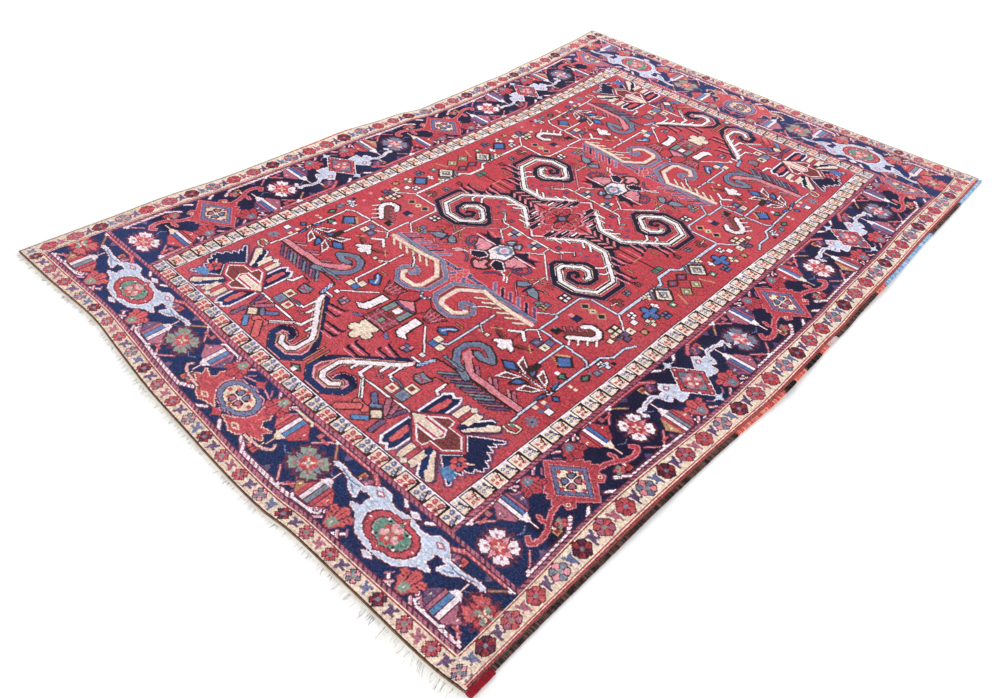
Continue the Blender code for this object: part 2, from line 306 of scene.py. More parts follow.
def blue_palmette(shape, unit):
    """Light blue palmette round a green flower. Its arms sweep out and end in hooks that turn down."""
    m = Motif(29, 29, 12, 12, "x", unit)
    oval = shape == "oval"
    across, high = (9, 5.6) if oval else (6.3, 8.5)
    if oval:
        m.area(
            "sky", (0, 6.3), (4.5, 5.5), (6.9, 5.8), (8.9, 7.8), (11.7, 7.8), (15.6, 4.9), (13.4, 4.2),
            (11.2, 3.7), (12, 2.6), (11.4, 0.2), (14.9, -0.9), (11.5, -1.6), (9.8, -3.1), (6.9, -5.3),
            (2.6, -6.2), (0, -6.6),
        )
        m.line("sky", 2, (14.6, 4.2), (20, 3.9), (25, 5), (26.8, 4.8), (27.4, 3.2), (26, 2))
        m.area("sky", (14.8, 0.8), (18.4, 1.8), (21, 4), (16.4, 4)).edge("ivory", "maroon")
        m.diamond(11, 6, 3.6, 2.2, "rose", "ivory").line("slate", 1, (16.5, 3.8), (20, 3.6), (24, 4.6))
        m.line("slate", 1, (16.4, 1.6), (19, 3))
    else:
        m.area(
            "sky", (5, 2.4), (8.8, 6.4), (10.6, 5), (9.9, 3.6), (12.4, 3.4), (13.2, 1.8), (12.2, -0.6),
            (9.9, 0.3), (9.6, -2.8), (7.2, -2.6), (5, -2),
        )
        m.line(
            "sky", 2.2, (12.6, 2.6), (14.8, 4.5), (18.4, 4.2), (20.4, 3.2), (22.6, 3.6), (23, 2),
            (22.2, 0.6),
        )
        m.edge("ivory", "maroon")
        m.diamond(8.6, 3.8, 2.6, 2.6, "rose", "ivory").line("slate", 1, (10.8, 1.6), (12.4, 1))
        m.line("slate", 1, (14.8, 4.4), (18.4, 4.1))
    for side in (1, -1):
        if oval:
            y = (high + 2.1) * side
            m.diamond(0, y, 5.4, 2.8, "maroon").diamond(0, y, 4.4, 2.1, "ivory", "sky")
        else:
            tip = ((0, 1.7), (0.7, 0.3), (2.7, -0.7), (1.2, -0.7), (0.5, -1.6), (0, -2))
            m.area("sky", *[(x, (high + 1.3) * side + y * side) for x, y in tip])
    middle, heart = ("sage", "green") if oval else ("steel", "steel")
    rings = (("ivory", 1.06), ("maroon", 1), ("red", 0.93), ("maroon", 0.72), (middle, 0.66), (heart, 0.6))
    for yarn, share in rings:
        m.area(yarn, *[(x * share, y * share) for x, y in ogee(across, high, shape)])
    m.flower(0, 0, 8, 0.6, 3.2, 1.7, "red pink", 0.5).flower(0, 0, 4, 0.9, 2, 0.8, "cream")
    m.spots("coral", 2.4, (0, 0))
    m.line("sage", 1.4, (across * 0.46, 0), (across * 0.6, 0))
    m.spots("ivory", 2, (across * 0.42, high * 0.5), (across * 0.42, -high * 0.5), (0, high * 0.82))
    m.spots("ivory", 1.6, (across * 0.84, 0), (0, -high * 0.82))
    m.spots("brown", 1.4, (across * 0.34, high * 0.4), (across * 0.34, -high * 0.4), (across * 0.6, 0))
    return m


def red_palmette(shape, unit):
    """Red palmette round a cream flower, its toothed arms sweeping down and out."""
    m = Motif(29, 29, 12, 12, "x", unit)
    oval = shape == "oval"
    across, high = (8.2, 5.4) if oval else (6.2, 8.5)
    if oval:
        m.area(
            "red", (7.4, 4.7), (8.6, 5.4), (11.2, 3.5), (12.7, 1.6), (11.8, 0.2), (13.3, -1.5),
            (16.8, -0.5), (15.3, -2.5), (17.4, -3.8), (12.6, -5.4), (10.5, -7.2), (8, -7.9), (5.4, -6.9),
            (2.2, -6.5), (4.9, -5), (7.4, -3), (8.6, 0),
        )
        m.edge("cream", "maroon")
        m.diamond(8, -6, 4, 2.2, "cream", "red").line("coral", 1.4, (10.8, 1.6), (10.6, -2.6), (13.4, -3.6))
        m.line("maroon", 4, (12.6, -5.8), (17, -5.6), (20.3, -4.9), (22, -3.6), (21.2, -2.2))
        m.line("pink cream", 2.2, (12.6, -5.8), (17, -5.6), (20.3, -4.9), (22, -3.6), (21.2, -2.4))
        m.line("maroon", 2.6, (2.6, 6.6), (6.4, 5.6)).line("pink", 1.2, (2.6, 6.6), (6.4, 5.6))
        for side in (1, -1):
            tip = ((0, 1.6), (1, 0.3), (2.4, -0.6), (1, -1), (0, -2.2))
            m.area("red", *[(x, (high + 1.9) * side + y * side) for x, y in tip])
    else:
        m.area(
            "red", (0, 11), (1.4, 9.2), (4, 6), (8, 2.9), (7.2, 1.9), (8.8, 1), (7.8, 0), (9.4, -1.4),
            (9.2, -2.8), (7.2, -3.4), (7.6, -6), (5.6, -6.8), (4.4, -5.6), (1.4, -9.2), (0, -11),
        )
        m.line(
            "red", 3, (8.6, -2.6), (11.7, -3.2), (14.2, -4.6), (16.4, -6.2), (19, -6.7), (21.4, -6.2),
            (22.4, -5), (21.4, -3.8),
        )
        m.line("red", 2.2, (14.4, -4.6), (15, -2.8), (14.6, -1.2)).edge("pink", "maroon")
        m.diamond(6.6, -5, 1.8, 2, "cream", "red")
        m.line("coral", 1.2, (16.4, -6.2), (20.6, -6.4))
    for yarn, share in (("pink", 1.08), ("maroon", 1.03), ("slate", 0.97), ("brown", 0.76), ("cream", 0.71)):
        m.area(yarn, *[(x * share, y * share) for x, y in ogee(across, high, shape)])
    petals = "slate rose sage rose" if oval else "slate rose"
    m.flower(0, 0, 4, 0.5, 3.2, 3, "brown", 0.5).flower(0, 0, 4, 0.8, 2.7, 1.8, petals, 0.5)
    m.spots("ivory", 2.6, (0, 0)).spots("rose", 1.4, (0, 0))
    m.spots("red", 4, (0, high * 0.58), (0, -high * 0.58), (across * 0.58, 0))
    m.spots("coral", 2.4, (across * 0.34, high * 0.34), (across * 0.34, -high * 0.34))
    return m


def bud(stripes, tips, hook, unit):
    """Striped bud on its stem, a hook curling under it."""
    m = Motif(8, 8, 7, 9, "", unit)
    m.line(hook, 1.8, (0, 3.2), (0, 7.6)).area(hook, (-1.8, 3.2), (1.8, 3.2), (0.6, 5.2), (-0.6, 5.2))
    m.area(tips[0], (-5.8, 0), (-2.9, 3.1), (2.9, 3.1), (5.8, 0), (2.9, -3.3), (-2.9, -3.3)).edge("maroon")
    m.area(tips[1], (2.7, 3.1), (2.9, 3.1), (5.8, 0), (2.9, -3.3), (2.7, -3.3))
    bands = stripes.split()
    for k, yarn in enumerate(bands):
        left, wide = -2.8 + 5.6 * k / len(bands), 5.6 / len(bands)
        m.area(yarn, (left, 3.2), (left + wide, 3.2), (left + wide, -3.4), (left, -3.4))
        m.line("maroon", 1, (left, 3.2), (left, -3.4))
    m.spots("cream", 2.4, (-4.2, 0.2)).spots("brown", 1.2, (-4.2, 0.2), (4, 0.8))
    m.spots("ivory", 1.4, (4, -0.6))
    for yarn, width in (("maroon", 3.8), (hook, 2)):
        m.line(yarn, width, (3, -3.6), (2.2, -4.6), (-3.6, -4.6), (-5.2, -3.6), (-4.8, -2.4))
    return m


def fan(yarn, heart, unit):
    """Leaf of three lobes over a pale heart, with a bar on each side of its foot."""
    m = Motif(7, 7, 6, 6, "x", unit)
    m.area(
        yarn, (0, 3.8), (1.2, 3.2), (1.7, 2), (3.4, 2.6), (4.2, 1.2), (3, 0.4), (3.4, -0.6), (2, -1.6),
        (1.4, -3.2), (0, -3.6),
    )
    m.edge("maroon")
    m.line("maroon", 1, (1.5, 2), (1, -0.4)).line("crimson", 1, (0, 3), (0, 1))
    m.line("crimson", 1, (2.2, 1.4), (3.4, 1.6))
    m.line("maroon", 3.8, (3, -2.4), (5.6, -4.6)).line("ivory pink", 2, (3, -2.4), (5.6, -4.6))
    m.line("rose", 1.4, (4.6, -0.6), (6, -2))
    m.area(heart, (0, 0), (1.6, -0.8), (1, -2.8), (0, -3)).spots("brown", 1.6, (0, 0.3), (2.4, 0.4))
    m.spots("cream", 1.2, (0, -1.6))
    return m


def rosette(petals, core, unit):
    """Eight-petalled flower seen from above, four petals larger."""
    m = Motif(8, 8, 7, 7, "", unit)
    large, small = petals.split()
    petal = ((0.8, 0.6), (1, 3.4), (2, 4.9), (3.4, 4), (4.2, 4.2), (4.4, 3.2), (5.6, 2), (4, 0.9))
    for yarn, share in (("maroon", 1.12), (large, 1)):
        for sx, sy in ((1, 1), (1, -1), (-1, 1), (-1, -1)):
            m.area(yarn, *[(x * sx * share, y * sy * share) for x, y in petal])
    for yarn, share in (("maroon", 1.2), (small, 0.9)):
        m.area(yarn, (-5.6 * share, 0), (-3, -share), (3, -share), (5.6 * share, 0), (3, share), (-3, share))
        m.area(yarn, (0, -5 * share), (share, -3), (share, 3), (0, 5 * share), (-share, 3), (-share, -3))
    m.edge("maroon").flower(0, 0, 4, 2.6, 4.2, 0.9, "rose", 0.5)
    m.flower(0, 0, 8, 0.4, 2.7, 1.6, core, 0.5).flower(0, 0, 4, 0.3, 1.7, 0.7, "cream", 0.5)
    m.spots("rose", 1.6, (0, 0))
    return m


# How long and how high a repeat of the border is in its own units
REPEAT = {"oval": (64, 22), "diamond": (56.3, 25.4)}
BUDS = (
    # stripes, the bud's two tips, hook
    ("red steel ivory red", ("coral", "tan"), "ivory"),
    ("rose blue ivory rose", ("mauve", "rose"), "ivory"),
    ("red ivory blue red", ("coral", "red"), "cream"),
)


def border_repeat(kind, shape, unit):
    """A palmette with its buds and vines, from the middle of one rosette to the middle of the next."""
    oval = shape == "oval"
    m = Motif(32, 32, 13, 13, "", unit)
    blue = kind == "blue"
    up = 1 if blue else -1
    half, top = (32, 11) if oval else (28.2, 12.7)
    bead = ("coral coral pink", "ivory ivory rose") if blue else ("ivory ivory rose", "coral pink")
    for side in (-1, 1):
        def at(*points):
            """The points on this side, the other way up round a red palmette."""
            return [(x * side, y * up) for x, y in points]

        reach = 10.5 if oval else 7.6
        m.vine(
            bead[0], 3.6, *at((half, top - 1.8), (half - 15, top - 1.8), (reach + 1.5, top - 4.6)),
            edge="maroon",
        )
        m.vine(
            bead[1], 3.6, *at((half, 1.8 - top), (half - 11, 1.8 - top), (reach + 5, 5 - top)),
            edge="maroon",
        )
        m.vine("pink", 1.6, *at((half, 2 - top), (half - 4.6, 6.4 - top)), edge="maroon")
        m.vine("tan" if blue else "pink", 1.4, *at((half, top - 2), (half - 4.4, top - 6)), edge="maroon")
        m.line("maroon", 4.6, *at((6.6, top - 0.6), (3, top - 3.4)))
        m.line("ivory", 2.6, *at((6.2, top - 1), (3.6, top - 3)))
        m.line("maroon", 4, *at((11, 0.8 - top), (7.6, 3.4 - top)))
        m.line("ivory", 2.2, *at((10.6, 1.2 - top), (8, 3.2 - top)))
        m.box(*at((half - 13.6, top - 4.4))[0], 5.6, "coral" if side > 0 else "tan", "red", "brick")
        m.line("cream", 1.8, *at((half - 13.6, top - 5.6), (half - 13.6, top - 7)))
        m.box(*at((half - 5, 3.6 - top))[0], 4.6, "mauve" if blue else "rose", "coral")
        m.line("coral", 2.2, *at((half - 3.6, 4 - top), (half - 1.4, 4 - top)))
        m.area("mauve", *at((half - 7.6, top - 2.6), (half - 4.8, top - 2.6), (half - 6.2, top - 4.6)))
        m.spots("steel", 2.4, *at((half - 4, 1), (half - 19, 4.6 - top)))
        m.spots("pink", 1.6, *at((half - 4, 1), (half - 19.6, 1.8 - top)))
        m.line("slate", 1, *at((half - 9, 0.6), (half - 7.2, 1.8), (half - 5.6, 1)))
        x, y = at((half - 16, top - 5.4))[0]
        m.flower(x, y, 5, 0, 2.2, 2, "maroon")
        m.flower(x, y, 5, 0, 1.8, 1.3, "mauve rose" if blue else "coral sage")
        m.spots("pink", 1.6, (x, y))
    if oval:
        bud_out, bud_up, leaf_out, leaf_up = (23.4, -3.4, 13, -6) if blue else (19, -3.4, 10.4, -6)
        bud_unit = unit[0] * 1.16, unit[1]
    else:
        bud_out, bud_up, leaf_out, leaf_up = 17.4, -5, 8.6, -7.4
        bud_unit = unit[0] * 0.92, unit[1] * 1.28
    turn = 0 if blue else 2
    for side in (-1, 1):
        flower = bud(*BUDS[(side > 0) + (not blue)], bud_unit)
        m.put(flower, bud_out * side, bud_up * up, turn, side * up < 0)
    m.put((blue_palmette if blue else red_palmette)(shape, unit), 0, 0)
    leaf = fan("coral" if blue else "red", "sage" if oval else "steel", unit)
    for side in (-1, 1):
        m.put(leaf, leaf_out * side, leaf_up * up, turn)
    return m


def border_run(total, height, length, first, shape, kinds, joints):
    """Repeats side by side along a navy ground, a rosette over each joint.

    The first palmette's middle is first knots along, and the next ones each length knots further.
    """
    run = Motif(0, total - 1, height // 2, height - 1 - height // 2)
    run.knots[:] = YARN["navy"]
    unit = length / REPEAT[shape][0], height / REPEAT[shape][1]
    repeats = {kind: border_repeat(kind, shape, unit) for kind in set(kinds)}
    for k, kind in enumerate(kinds):
        run.put(repeats[kind], first + k * length, 0)
    unit = (unit[0] * 1.04, unit[1] * 0.86) if shape == "oval" else (unit[0] * 0.8, unit[1] * 1.1)
    flowers = {
        "sage": rosette("sage steel", "red coral", unit),
        "white": rosette("ivory pink", "red coral", unit),
        "grey": rosette("steel sky", "coral pink", unit),
        "cluster": rosette("coral red", "sage crimson", unit),
    }
    cross = Motif(4, 4, 4, 4, "xy")
    cross.spots("maroon", 7, (0, 0)).spots("ivory", 2.4, (2, 0), (0, 2)).spots("red", 2, (0, 0))
    for k, joint in enumerate(joints):
        middle = first + (k - 0.5) * length
        run.put(flowers[joint], middle, 0)
        for y in (0.43 * height, -0.43 * height):
            run.put(cross, middle, y)
    low, high = -(height // 2), height - 1 - height // 2
    for base, away in ((low, 1), (high, -1)):
        run.line("maroon", 1, (0, base + away * 3), (total, base + away * 3))
        run.line("rose maroon rose", 2.6, (0, base + away), (total, base + away))
    return run.knots


def inner_guard(total, height, pair, first):
    """Cream guard with a dark crenellated line, blue and red flowers in turn in its notches."""
    run = Motif(0, total - 1, 0, height - 1)
    run.knots[:] = YARN["ivory"]
    low, high, half = 1, height - 3, pair / 2
    m = Motif(half, half, 0, height - 1)
    for x, base, yarns in ((-half / 2, low, ("slate", "sky")), (half / 2, high, ("red", "pink"))):
        away = 1 if base == low else -1
        middle, w = (low + high) / 2 + away, half / 2 - 2
        m.area(
            "cream", (x - w - 1, low + 1), (x + w + 1, low + 1), (x + w + 1, high - 1),
            (x - w - 1, high - 1),
        )
        m.flower(x, middle, 4, 0.8, w * 1.2, w * 0.66, yarns[0], 0.5)
        m.flower(x, middle, 4, w * 0.6, w * 0.9, 1.2, yarns[1], 0.5)
        m.line("black", 1.2, (x - half / 2, base), (x + half / 2, base))
        m.line("black", 1.2, (x + half / 2, low), (x + half / 2, high))
        m.line("brown", 1.2, (x + w * 0.5, middle + w * 0.5 * away), (x + half / 2 - 1, base + 1 * away))
        m.line(
            "brown", 1.2, (x + half / 2 - 3.4, base + away), (x + half / 2 - 1, base + away),
            (x + half / 2 - 1, base + 3.4 * away),
        )
    m.line("black", 1.2, (-half, low), (-half, high))
    for k in range(-1, int(total / pair) + 2):
        run.put(m, first + k * pair, (height - 1) / 2)
    run.line("brown", 1, (0, height - 1), (total, height - 1)).line("crimson", 1, (0, 0), (total, 0))
    return run.knots


def outer_guard(total, height, step, first):
    """Cream guard: a small flower at each step, in four kinds by turns, and a leaf sprig between them."""
    run = Motif(0, total - 1, 0, height - 1)
    run.knots[:] = YARN["cream"]
    middle = (height - 1) / 2
    size = min(height / 2 - 2.4, 7.4)
    kinds = (
        # petals, rim, heart, the sprig beside it
        ("crimson maroon", "brown", "steel", "mauve"),
        ("coral rose", "maroon", "sage", "rose"),
        ("red coral", "maroon", "steel", "mauve"),
        ("steel pink", "maroon", "sage", "slate"),
    )
    twigs = (
        (2.6, (-3, 0.7), (2, -0.5)), (2.2, (1.5, 0.5), (2.2, -0.8)),
        (1.8, (-3.4, -0.3), (1, -0.2)), (1.8, (0, 0.2), (3.8, 0.5)),
    )
    for k in range(-1, int(total / step) + 2):
        x, way = first + k * step, 1 if k % 2 else -1
        petals, rim, heart, sprig = kinds[k % 4]
        flower = Motif(9, 9, 9, 9).flower(0, 0, 6, 1, size, size * 0.72, petals, 0.25 * way).edge(rim)
        flower.flower(0, 0, 6, 1, size, 0.8, rim, 0.25 * way + 0.5)
        run.put(flower.spots("red", 4, (0, 0)).spots(heart, 2.4, (0, 0)), x, middle)
        x += step / 2
        for width, (x0, y0), (x1, y1) in twigs:
            run.line(sprig, width, (x + x0 * way, middle + y0 * size), (x + x1 * way, middle + y1 * size))
    return run.knots


# The field is drawn in units of about a centimetre, counted from the near left corner of the carpet
# before it was drawn aside. A knot is 0.355 of them. Its axis and its middle are lines of symmetry.
KNOT_CM = 0.355
CM = (1 / KNOT_CM, 1 / KNOT_CM)
FIELD_CORNER = (42.8, 32.1)
AXIS, MIDDLE = 109.1, 156


def corner_palmette():
    """The palmette that fills each corner of the field, on its side."""
    m = Motif(15.5, 15.5, 15, 15, "y", CM)
    m.area(
        "navy", (-7.4, 0), (-2.7, 5), (-5.6, 7.2), (-11.2, 11), (-11.4, 10), (-9, 8), (-10.6, 7.8),
        (-8.8, 6.4), (-11.2, 5.8), (-10, 4.4), (-12.8, 3.4), (-11.8, 2), (-14.2, 1), (-13.2, 0),
    )
    m.edge("ivory", "rose")
    m.line("maroon", 8, (-6.4, 12.4), (0, 5.6)).line("cream", 4.6, (-6.6, 12.7), (-0.2, 5.9))
    m.line("ivory", 8, (-3.6, 13), (0.4, 7.6), (1.2, 5.4))
    m.line("navy", 5.6, (-4, 13.2), (0.2, 7.6), (1, 5.6)).line("cream", 3, (-6.2, 13.4), (-3.8, 11.6))
    # crown
    m.area("cream", (0, 7.6), (-0.6, 11.8), (-0.2, 14), (0.8, 12.8), (1.9, 12.8), (2, 7.6))
    m.area("cream", (3.9, 7.6), (4.2, 13.2), (5.4, 13.6), (6.3, 12.4), (6.2, 7.6)).edge("maroon")
    m.area("red", (2.2, 7), (2.2, 12), (3.9, 12), (3.9, 7)).diamond(3, 13.3, 2.6, 2.8, "cream")
    # oval with a heart
    m.area("ivory", (9.2, 3), (7.2, 6.6), (7.2, 12), (8.8, 14.6), (10.4, 13.2), (12, 14), (14, 12), (14, 1.4))
    m.area(
        "navy", (9.8, 3), (7.9, 6.8), (7.9, 11.6), (8.9, 13.6), (10.4, 12.2), (11.9, 13.2), (13.2, 11.4),
        (13.2, 1.8),
    )
    m.area("coral", (10, 4.6), (9.5, 8), (9.7, 11), (10.6, 11.6), (11.6, 11), (11.9, 4)).edge("mauve")
    # red body with a dark rim, and an arrow in it
    m.area("maroon", (-7.4, 0), (-2.3, 4.9), (1.4, 5.4), (2, 7.7), (6.5, 7.7), (15, 0))
    m.area("red", (-6.8, 0), (-2, 4.4), (1.8, 4.8), (2.5, 7.2), (6.2, 7.2), (14.2, 0))
    m.area("ivory", (-5.6, 0), (-1.8, 3.7), (2.9, 3.8), (3.3, 6.3), (6, 6.3), (11, 1.8), (11, 0))
    m.area("brick", (-5, 0), (-1.5, 3.2), (3.2, 3.3), (3.8, 5.8), (5.7, 5.8), (9.8, 2.2), (9.8, 0))
    m.area("ivory", (1.3, 0), (2.8, 2.5), (10.6, 2.5), (10.6, 0))
    m.area("red", (1.9, 0), (3, 2), (10.6, 2), (10.6, 0))
    m.area("ivory", (2.5, 0), (3.1, 1.4), (10.6, 1.4), (10.6, 0)).line("maroon", 1, (-2, 0), (1, 0))
    m.area("cream", (2.9, 0), (3.2, 1), (10.6, 1), (10.7, 2.3), (14.2, 0))
    return m


def feathers(m, yarns, width, start, step, count, lean, edge="brown"):
    """A row of short slanting bars, like the barbs of a feather."""
    yarns = yarns.split()
    for k in range(count):
        x, y = start[0] + step[0] * k, start[1] + step[1] * k
        m.line(edge, width + 2, (x, y), (x + lean[0], y + lean[1]))
        m.line(yarns[k % len(yarns)], width, (x, y), (x + lean[0], y + lean[1]))


def clover(m, x, y, size, yarn):
    """Four dots round a middle."""
    m.spots("brown", size * 2.6, (x, y))
    k = size * KNOT_CM / 1.7
    m.spots(yarn, size, (x - k, y), (x + k, y), (x, y - k), (x, y + k))


def corner(m):
    """The corner palmette, with the stem that leads from it."""
    m.vine("ivory", 2, (71, 46), (92.5, 45.4), (86, 38.6))
    m.put(corner_palmette(), 58, 46)
    m.area("blue", (47, 36.6), (47.4, 39.6), (51, 40), (52.6, 38), (50, 36.4))
    m.flower(49.9, 42.4, 5, 0.6, 2.6, 1.9, "coral").spots("slate", 2, (49.9, 42.4))
    m.line("cream", 1.4, (48.6, 44), (47, 45))


def large_hook(m):
    """The large hook, with its teeth."""
    m.line(
        "brown", 9.5, (87.4, 60.5), (104.6, 44), (106.6, 41), (106.6, 37.4), (102.4, 33.5), (96.5, 33.5),
        (91.6, 37.6), (91.6, 40.8), (94, 42.6), (96.8, 41.6), (97.4, 39.6),
    )
    m.line(
        "pink", 8, (88, 60.2), (104.8, 44), (106.6, 41), (106.6, 37.4), (102.4, 33.7), (96.5, 33.7),
        (91.8, 37.6), (91.8, 40.8), (94, 42.4), (96.6, 41.5), (97.2, 39.8),
    )
    m.line(
        "navy", 6, (88.6, 60.4), (105, 44.2), (107, 41), (107, 37.4), (102.6, 33.4), (96.3, 33.4),
        (91.4, 37.6), (91.4, 41), (94, 42.6), (96.6, 41.6), (97.2, 39.8),
    )
    inner = (
        (87.2, 59.6), (88.4, 57.4), (100.4, 46.6), (102, 44.6), (102, 38.4), (100.4, 36.8), (96.8, 36.8),
        (95, 38.6),
    )
    for yarn, width in (("brown", 11), ("pink", 9.6), ("tan", 8.4), ("brown", 7)):
        m.line(yarn, width, *inner[1:])
    teeth = (
        ((88, 58), (87.8, 51.8), (85.6, 51)), ((90.8, 55.6), (90.8, 51)),
        ((94.6, 52), (94.4, 46), (92.4, 45.4)), ((97.6, 49.6), (97.8, 45.6)),
    )
    for tooth in teeth:
        m.vine("ivory", 3, *tooth)
    m.line("ivory", 4.6, *inner)
    strokes = (
        ((91.6, 59), (98, 60.2)), ((93.6, 56.6), (98.4, 56.6)), ((98.4, 53), (105.6, 53.4)),
        ((100, 50.2), (105.6, 50.4)),
    )
    for (x0, y0), (x1, y1) in strokes:
        m.line("pink", 1.4, (x0 + 1, y0 - 1.2), (x1, y1 - 1.3))
        m.line("midnight", 2.6, (x0, y0), (x1, y1), (x1 + 0.4, y1 + 0.9))
    m.vine("tan", 1.6, (107.9, 45), (108, 37.4))
    m.diamond(108.8, 33.7, 5.6, 3.4, "brown", "green")
    m.spots("ivory", 4, (108.8, 33))
    m.line("brown", 1.4, (88.6, 61), (108.4, 61))
    m.line("red", 1.6, (88.6, 61), (108.4, 61))


def lattice(m):
    """Flower, lattice and white comb on the axis."""
    for yarn, far, wide in (("brown", 5.4, 4.2), ("cream", 4.9, 3.4)):
        m.flower(AXIS, 59, 5, 0, far, wide, yarn, 0.75).spots(yarn, wide * 4, (AXIS, 59.4))
    m.area("brown", (103.4, 62.6), (103.4, 69.6), (109.5, 71), (109.5, 62.6))
    m.area("brick", (104, 63.4), (104, 69.2), (109.5, 70.6), (109.5, 63.2))
    for row in (64.6, 66.8, 69):
        m.line("rose", 1.4, (104, row), (109.5, row - 1))
        m.spots("crimson", 2.6, (105, row + 0.8), (107.2, row + 0.6))
    m.line("rose", 1.4, (104, 68.8), (109.5, 63)).line("rose", 1.4, (106, 70), (106, 63.4))
    m.line("pink", 1, (104.2, 63.4), (109.5, 65))
    m.box(AXIS, 66.2, 6.4, "sage")
    m.area("brown", (100, 62.2), (103, 64), (103.6, 62.4), (101, 61))
    m.area("slate", (100.4, 62.2), (103, 63.6), (103.2, 62.4), (101, 61.2))
    m.area("brown", (98.6, 75.4), (103, 75.4), (102.4, 66), (99.6, 64.4), (95.6, 66), (98.2, 67.6))
    m.area("ivory", (99.2, 74.9), (102.5, 74.9), (101.8, 66.4), (99.6, 65), (96.4, 66.1), (99, 67.4))
    m.area("brown", (104, 69.8), (104, 76.4), (107.2, 76.4), (107, 69.8))
    m.area("sage", (104.4, 70.2), (104.6, 76), (106.8, 76), (106.6, 70.2))
    m.line("steel", 2, (105.6, 70.6), (105.8, 75.6))
    m.box(AXIS, 73, 8, "ivory")
    m.area("brown", (103.6, 75.4), (104.6, 77.4), (109.5, 81), (109.5, 74.8))
    m.area("mauve", (104.4, 75.8), (105.2, 77), (109.5, 77), (109.5, 75.4))
    m.area("pink", (105, 76.8), (109.5, 80.2), (109.5, 76.2))
    m.vine("slate", 2.4, (AXIS, 80.6), (AXIS, 83.4), (106.6, 85.4))
    m.spots("ivory", 2, (AXIS, 81.8), (108.2, 84), (107, 85.2))
    m.line("brown", 1.4, (102.8, 82.2), (107, 85.4)).line("brown", 1.4, (104, 76.6), (102.6, 79.6))
    m.area("brown", (94.2, 81.8), (103.4, 82.6), (103.2, 80), (100.6, 75.8), (98, 75.6))
    m.area("brick", (95.2, 81.4), (102.8, 82), (102.4, 80), (100.2, 76.4), (98.4, 76.2))
    for k in range(4):
        m.line("crimson", 2, (95.6 + 2 * k, 81.6), (98 + 1.6 * k, 77))
        m.line("pink", 1, (96.6 + 2 * k, 81.8), (97.6 + 1.2 * k, 77.4))
    m.line("rose", 1.2, (96, 79.6), (102.4, 80.4)).line("rose", 1.2, (97.4, 77.8), (101.4, 78.4))


def boxes_and_leaves(m):
    """What lies round the large hook."""
    m.box(79, 52.5, 10, "cream", "brick")
    m.box(79, 48.8, 10, "steel", "slate")
    m.box(83.5, 48.8, 9, "cream", "red")
    m.vine("slate", 1.4, (81.4, 51), (84, 51.8), (86, 51.6))
    m.vine("rose", 1.2, (88.4, 49.5), (90, 50.2), (90, 49))
    m.line("brown", 1.6, (74.6, 61.4), (78, 61), (79, 59))
    m.area("brown", (77, 59.6), (82.4, 60), (83.4, 57), (81.6, 55.2), (78.4, 55.4))
    m.area("steel", (77.8, 59), (82, 59.4), (82.8, 57), (81.4, 55.8), (79, 56))
    m.line("crimson", 1.4, (78, 58.4), (82.4, 56.8))
    m.line("crimson", 1.4, (79, 56.6), (82.6, 58.6))
    m.vine("ivory", 2.8, (74, 61), (73.8, 57.2), (72.4, 56.4))
    m.spots("brown", 6, (92.8, 62.6), (94.2, 64.2), (94.4, 62.4), (92.6, 64.2))
    m.spots("slate", 3.6, (92.8, 62.8), (94.2, 64.2)).spots("pink", 3.6, (94.4, 62.6), (92.6, 64.4))
    m.box(88, 64.8, 4.5, "ivory")
    m.vine("ivory", 1.6, (88.6, 66), (97.6, 74.6))
    m.vine("ivory", 1.4, (86, 62), (89.4, 61.9))
    m.line("brown", 5.4, (84, 66), (85.4, 60.4))
    m.line("blue sky", 3.6, (84, 65.6), (85.4, 60.8))


def crossed_leaves(m):
    """Leaves across each other, with a diamond between them."""
    leaves = (
        ("mauve", 4, (74, 45), (75.4, 40.6)), ("rose", 5, (77, 40.4), (80.2, 44.8)),
        ("rose", 4, (76, 42), (77, 44.6)), ("slate", 5, (81, 40.2), (84.8, 43.4)),
        ("slate", 4, (80, 41.4), (82, 40)), ("blue", 5, (79, 36), (82, 33.4)),
        ("mauve", 5, (75.2, 38), (75, 33.6)), ("coral", 7, (82, 37.6), (86, 38)),
        ("coral", 7, (84.4, 37), (88.6, 32.8)),
    )
    for yarn, width, *ends in leaves:
        m.vine(yarn, width, *ends)
    m.diamond(78.5, 38.6, 6.4, 5.6, "brown", "cream", "cream")
    m.vine("ivory", 1.6, (86.2, 39.8), (92, 45.4))


